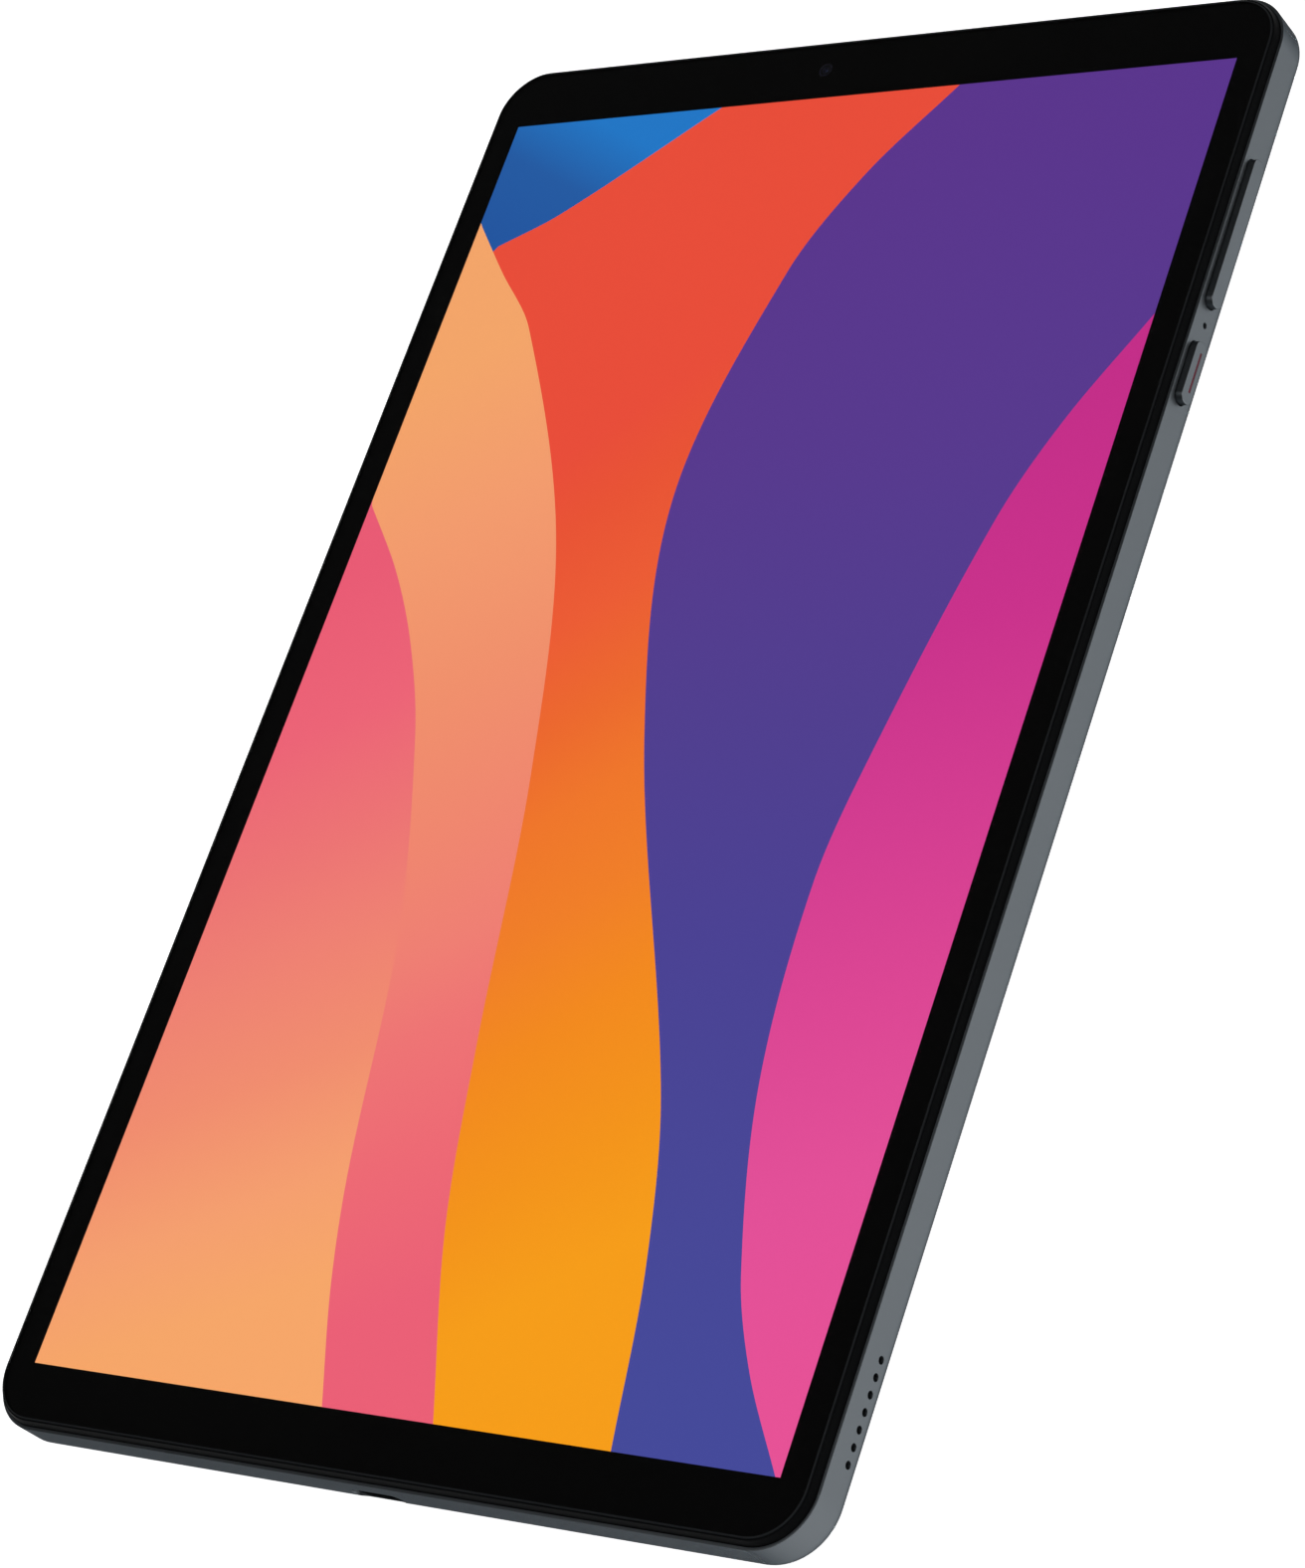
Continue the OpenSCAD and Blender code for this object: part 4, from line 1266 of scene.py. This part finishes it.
@dataclass
class CardTray:
    """The card tray: a head flush with the side, with its release hole, and its frame."""

    head: float = 1.3 * MM
    head_radius: float = 1.0 * MM
    soft: float = 0.1 * MM
    pin_radius: float = 0.4 * MM
    pin_offset: float = 5.9 * MM
    body: Point = (18.0 * MM, 13.0 * MM)
    body_height: float = 0.7 * MM
    pocket: Point = (14.8 * MM, 11.1 * MM)

    def build(self) -> None:
        """Make the tray from a head and a frame with a stepped pocket."""
        low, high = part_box("card_tray")
        middle = middle_of("card_tray")
        face = low.x
        outline = Outline(high.y - low.y, high.z - low.z, self.head_radius, 8)
        section = rounded([
            (-0.3 * MM, face + self.head, 0), (0, face + self.head, 0.0), (0, face, self.soft),
            (-0.3 * MM, face, 0),
        ], steps=3)
        head = plug(outline, Axis.X, (middle.y, middle.z), section)
        pin = mouth_cutter(disc(self.pin_radius, 6), Axis.X, (middle.y + self.pin_offset, middle.z),
                           face, -1, self.head + MM, 0.05 * MM)
        bm = carve(head, [pin])
        plate = bmesh.new()
        x0 = face + self.head - 0.05 * MM
        half = Vector((0, self.body[1] / 2, self.body_height / 2))
        base = Vector((x0, middle.y, middle.z))
        end = Vector((high.x, middle.y, middle.z))
        add_block(plate, base - half, end + half, 0.12 * MM)
        pocket_x = face + self.head + 1.9 * MM + self.pocket[0] / 2
        step = 0.15 * MM
        upper = plug(Outline(self.pocket[0], self.pocket[1], 0.6 * MM, 4), Axis.Z, (pocket_x, middle.y),
                     [(0, middle.z - step), (0, middle.z + MM)])
        lower = plug(Outline(self.pocket[0] - 2 * MM, self.pocket[1] - 2 * MM, 0.6 * MM, 4), Axis.Z,
                     (pocket_x, middle.y), [(0, middle.z - MM), (0, middle.z)])
        plate = carve(plate, [upper, lower])
        mesh = bpy.data.meshes.new("plate")
        plate.to_mesh(mesh)
        plate.free()
        bm.from_mesh(mesh)
        bpy.data.meshes.remove(mesh)
        add_piece(to_object("card_tray_drawer", bm, 40), "card_tray", "tray_metal", TRAY_METAL, "card_tray")

    def dress_nodes(self) -> None:
        """Give the tray's seal and socket their finishes."""
        dress_node("card_tray_seal", RUBBER)
        dress_node("card_socket", SHEET_STEEL)


@dataclass
class Cameras:
    """The front camera under the glass, and the rear camera and flash in the back."""

    rear_lens: float = 1.9 * MM
    flash_rings: int = 5

    def lens_dome(
        self, name: str, at: Vector, radius: float, rise: float, direction: int, slot: str,
    ) -> None:
        """Make a curved lens surface on a short barrel.

        Args:
            name: The piece's name.
            at: The middle of the dome's foot.
            radius: The lens's radius.
            rise: How far the dome stands above its foot.
            direction: +1 if the dome looks up, or -1.
            slot: The record's material slot for it.
        """
        section = [(-0.02 * MM, at.z - direction * 0.15 * MM)]
        for k in range(9):
            turn = math.radians(90 * k / 9)
            section.append((-radius * (1 - math.cos(turn)), at.z + direction * rise * math.sin(turn)))
        bm = plug(disc(radius, 10), Axis.Z, (at.x, at.y), section)
        add_piece(to_object(name, bm, 50), "tablet", slot, CAMERA_COATING)

    def build_front(self) -> None:
        """Make the front camera's barrel, with a painted glint on its top rings, and its lens under its
        window.
        """
        low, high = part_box("front_camera_lens")
        spot = middle_of("front_camera_lens")
        radius = (high.x - low.x) / 2
        foot = Vector((spot.x, spot.y, low.z))
        inner, bore = 0.62 * MM - radius, 0.48 * MM - radius
        section = rounded([
            (0, foot.z, 0), (0, high.z, 0.06 * MM), (-0.14 * MM, high.z, 0.06 * MM),
            (-0.14 * MM, high.z - 0.1 * MM, 0), (inner, high.z - 0.1 * MM, 0),
            (inner, high.z - 0.02 * MM, 0.05 * MM), (bore, high.z - 0.02 * MM, 0.05 * MM), (bore, foot.z, 0),
        ], closed=True, steps=4)
        bm = bmesh.new()
        sweep(bm, disc(radius, 12), Axis.Z, (spot.x, spot.y), section, closed=True)
        made = to_object("front_camera_barrel", bm, 50)
        add_piece(made, "tablet", "camera_plastic", CAMERA_RINGS_PAINTED_GLINT, "front_camera_lens")
        # The top faces keep the lighter painted-glint colour; the faces lower down get black plastic.
        made.data.materials.append(CAMERA_PLASTIC.material())
        painted_glint_low = high.z - 0.08 * MM
        for face in made.data.polygons:
            if face.center.z < painted_glint_low:
                face.material_index = 1
        self.lens_dome("front_camera_glass", Vector((spot.x, spot.y, high.z - 0.3 * MM)), 0.46 * MM,
                       0.2 * MM, 1, "camera_lens")
        dress_node("front_camera_module", CAMERA_PLASTIC)

    def build_rear(self) -> None:
        """Make the rear camera's ring, window, inner barrel and lens."""
        low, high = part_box("rear_camera_ring")
        window_low, window_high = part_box("rear_camera_window")
        spot = middle_of("rear_camera_ring")
        radius = (high.x - low.x) / 2
        inner = (window_high.x - window_low.x) / 2 + 0.02 * MM
        bm = bmesh.new()
        section = rounded([
            (0, high.z, 0.05 * MM), (0, low.z, 0.18 * MM), (inner - radius, low.z, 0.18 * MM),
            (inner - radius, high.z, 0.05 * MM),
        ], closed=True, steps=5)
        sweep(bm, disc(radius, 16), Axis.Z, (spot.x, spot.y), section, closed=True)
        add_piece(to_object("rear_camera_bezel", bm, 40), "tablet", "ring_metal", RING_METAL,
                  "rear_camera_ring")
        pane = inner - 0.02 * MM
        thick = 0.35 * MM
        section = rounded([
            (-0.08 * MM, window_low.z, 0), (0, window_low.z + 0.08 * MM, 0.0),
            (0, window_low.z + thick, 0.0), (-0.05 * MM, window_low.z + thick, 0),
        ])
        add_piece(to_object("rear_camera_pane", plug(disc(pane, 14), Axis.Z, (spot.x, spot.y), section), 40),
                  "tablet", "camera_window", CAMERA_GLASS, "rear_camera_window")
        bm = bmesh.new()
        base = window_low.z + thick + 0.02 * MM
        for outer, hole, z in ((pane, 2.6 * MM, base), (2.6 * MM, self.rear_lens, base + 0.12 * MM)):
            section = rounded([
                (0, z, 0.02 * MM), (0, window_high.z, 0), (hole - outer, window_high.z, 0),
                (hole - outer, z, 0.05 * MM),
            ], closed=True, steps=2)
            sweep(bm, disc(outer, 12), Axis.Z, (spot.x, spot.y), section, closed=True)
        add_piece(to_object("rear_camera_barrel", bm, 40), "tablet", "camera_plastic", CAMERA_PLASTIC)
        self.lens_dome("rear_camera_glass", Vector((spot.x, spot.y, window_high.z - 0.02 * MM)),
                       self.rear_lens, 0.3 * MM, -1, "camera_lens")
        dress_node("rear_camera_module", CAMERA_PLASTIC)

    def build_flash(self) -> None:
        """Make the flash window, with the fine rings of its moulded lens."""
        low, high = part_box("flash_window")
        spot = middle_of("flash_window")
        radius = (high.x - low.x) / 2
        section = [(-0.3 * MM, high.z), (0.0, high.z), (0.0, low.z + 0.05 * MM), (-0.05 * MM, low.z)]
        pitch = (radius - 0.3 * MM) / self.flash_rings
        for i in range(self.flash_rings):
            section.append((-0.05 * MM - (i + 0.9) * pitch, low.z + 0.06 * MM))
            section.append((-0.05 * MM - (i + 1.0) * pitch, low.z))
        bm = plug(disc(radius, 10), Axis.Z, (spot.x, spot.y), section)
        add_piece(to_object("flash_lens", bm, 25), "tablet", "flash_diffuser", FLASH_DIFFUSER,
                  "flash_window")
        dress_node("flash_led", LED_CERAMIC)

    def build(self) -> None:
        """Make both cameras and the flash."""
        self.build_front()
        self.build_rear()
        self.build_flash()


@dataclass
class Inside:
    """The pieces between the glass and the housing, which keep their CAD shapes."""

    finishes: dict[str, Finish] = field(default_factory=lambda: {
        "lcd_panel": PANEL_GLASS,
        "backlight_unit": LIGHT_GUIDE,
        "display_shield": SHEET_STEEL,
        "display_flex": FLEX_CIRCUIT,
        "mid_frame": CAST_FRAME,
        "frame_screws": SCREW_STEEL,
        "mainboard": CIRCUIT_BOARD,
        "processor_shield": CAN_METAL,
        "radio_shield": CAN_METAL,
        "power_shield": CAN_METAL,
        "board_screws": SCREW_STEEL,
        "battery_cell_left": BATTERY_POUCH,
        "battery_cell_right": BATTERY_POUCH,
        "battery_board": CIRCUIT_BOARD,
        "battery_flex": FLEX_CIRCUIT,
        "graphite_sheet": GRAPHITE,
        "wifi_antenna": AERIAL,
        "gps_antenna": AERIAL,
    })

    def dress_nodes(self) -> None:
        """Give every inner piece its finish."""
        for node, finish in self.finishes.items():
            dress_node(node, finish)


# ---------------------------------------------------------------- studio


@dataclass
class Studio:
    """A pale floor that curves up at its far edge, a soft lamp and the camera."""

    floor_radius: float = 1.7
    cove_radius: float = 0.35
    cove_height: float = 0.9
    camera_at: Vector = field(default_factory=lambda: Vector((400.5, -235.8, 441.1)) * MM)
    aim_at: Vector = field(default_factory=lambda: Vector((8.8, -12.5, 8.1)) * MM)
    camera_turn: float = 48.91
    lens: float = 98.95

    def build_floor(self) -> None:
        """Make the floor and its cove."""
        section = [(-self.floor_radius * 0.999, 0.0)]
        for k in range(13):
            turn = math.radians(90 * k / 12)
            section.append((self.cove_radius * math.sin(turn), self.cove_radius * (1 - math.cos(turn))))
        section.append((self.cove_radius, self.cove_height))
        bm = bmesh.new()
        sweep(bm, disc(self.floor_radius, 24), Axis.Z, (0, 0), section)
        lid = [f for f in bm.faces if all(abs(v.co.z - self.cove_height) < 1e-6 for v in f.verts)]
        bmesh.ops.delete(bm, geom=lid, context="FACES")
        bmesh.ops.recalc_face_normals(bm, faces=bm.faces)
        bmesh.ops.reverse_faces(bm, faces=bm.faces)
        mesh = bpy.data.meshes.new("studio_floor")
        bm.to_mesh(mesh)
        bm.free()
        mesh.shade_smooth()
        floor = bpy.data.objects.new("studio_floor", mesh)
        bpy.context.scene.collection.objects.link(floor)
        paper = Finish("studio_paper", "f6f6f6", "f8f8f8", 0.0, (0.9, 0.95), 200.0, 3.0, specular=0.0,
                       glow=0.9)
        material = paper.material()
        graph = Graph(material.node_tree)
        spot = graph.node("ShaderNodeTexCoord").outputs["Object"]
        reach = graph.node("ShaderNodeVectorMath", operation="LENGTH")
        graph.tree.links.new(spot, reach.inputs[0])
        fade = graph.node("ShaderNodeMapRange", Value=reach.outputs["Value"])
        for name, value in (("From Min", 0.4), ("From Max", 0.9), ("To Min", 1.0), ("To Max", 0.0)):
            fade.inputs[name].default_value = value
        graph.feed(graph.tree.nodes["Principled BSDF"], "Emission Color", fade.outputs["Result"])
        mesh.materials.append(material)

    def lamp(self, name: str, at: Vector, size: Point, power: float, target: Vector) -> None:
        """Add a soft rectangular lamp that faces a target.

        Args:
            name: The lamp's name.
            at: Where it stands.
            size: Its width and height.
            power: Its power in watts.
            target: The point it faces.
        """
        light = bpy.data.lights.new(name, "AREA")
        light.shape = "RECTANGLE"
        light.size, light.size_y = size
        light.energy = power
        made = bpy.data.objects.new(name, light)
        made.location = at
        made.rotation_mode = "QUATERNION"
        made.rotation_quaternion = (target - at).to_track_quat("-Z", "Y")
        bpy.context.scene.collection.objects.link(made)

    def build_lights(self) -> None:
        """Light the set so that the glass mirrors a dark part of it."""
        world = bpy.data.worlds.new("studio")
        world.use_nodes = True
        back = world.node_tree.nodes["Background"]
        back.inputs["Color"].default_value = (1.0, 1.0, 1.0, 1.0)
        back.inputs["Strength"].default_value = 0.02
        bpy.context.scene.world = world
        middle = Vector((0, 0, 0))
        self.lamp("overhead", Vector((0.3, -0.2, 1.6)), (1.4, 1.4), 13, middle)

    def build_camera(self) -> None:
        """Make the camera, turned about its own line of sight."""
        data = bpy.data.cameras.new("view")
        data.lens = self.lens
        data.sensor_width = 36.0
        data.clip_start = 0.01
        data.clip_end = 20.0
        camera = bpy.data.objects.new("view", data)
        forward = (self.aim_at - self.camera_at).normalized()
        level = forward.to_track_quat("-Z", "Y")
        camera.rotation_mode = "QUATERNION"
        camera.rotation_quaternion = level @ Matrix.Rotation(
            math.radians(-self.camera_turn), 3, "Z").to_quaternion()
        camera.location = self.camera_at
        bpy.context.scene.collection.objects.link(camera)
        bpy.context.scene.camera = camera

    def build(self) -> None:
        """Make the whole set."""
        self.build_floor()
        self.build_lights()
        self.build_camera()
        bpy.context.scene.view_settings.view_transform = "Standard"


def write_sizes() -> None:
    """Update the view layer."""
    bpy.context.view_layer.update()


def main() -> None:
    """Build every sub-assembly in order and report each piece."""
    logging.basicConfig(level=logging.INFO, format="%(name)s: %(message)s")
    Housing().build()
    front = Front()
    front.build_frame()
    front.build_glass()
    front.dress_nodes()
    Screen().build()
    keys = Keys()
    keys.build()
    keys.dress_nodes()
    port = UsbPort()
    port.build()
    port.dress_nodes()
    sound = Sound()
    sound.build()
    sound.dress_nodes()
    tray = CardTray()
    tray.build()
    tray.dress_nodes()
    Cameras().build()
    Inside().dress_nodes()
    Studio().build()
    write_sizes()


if __name__ == "__main__":
    main()
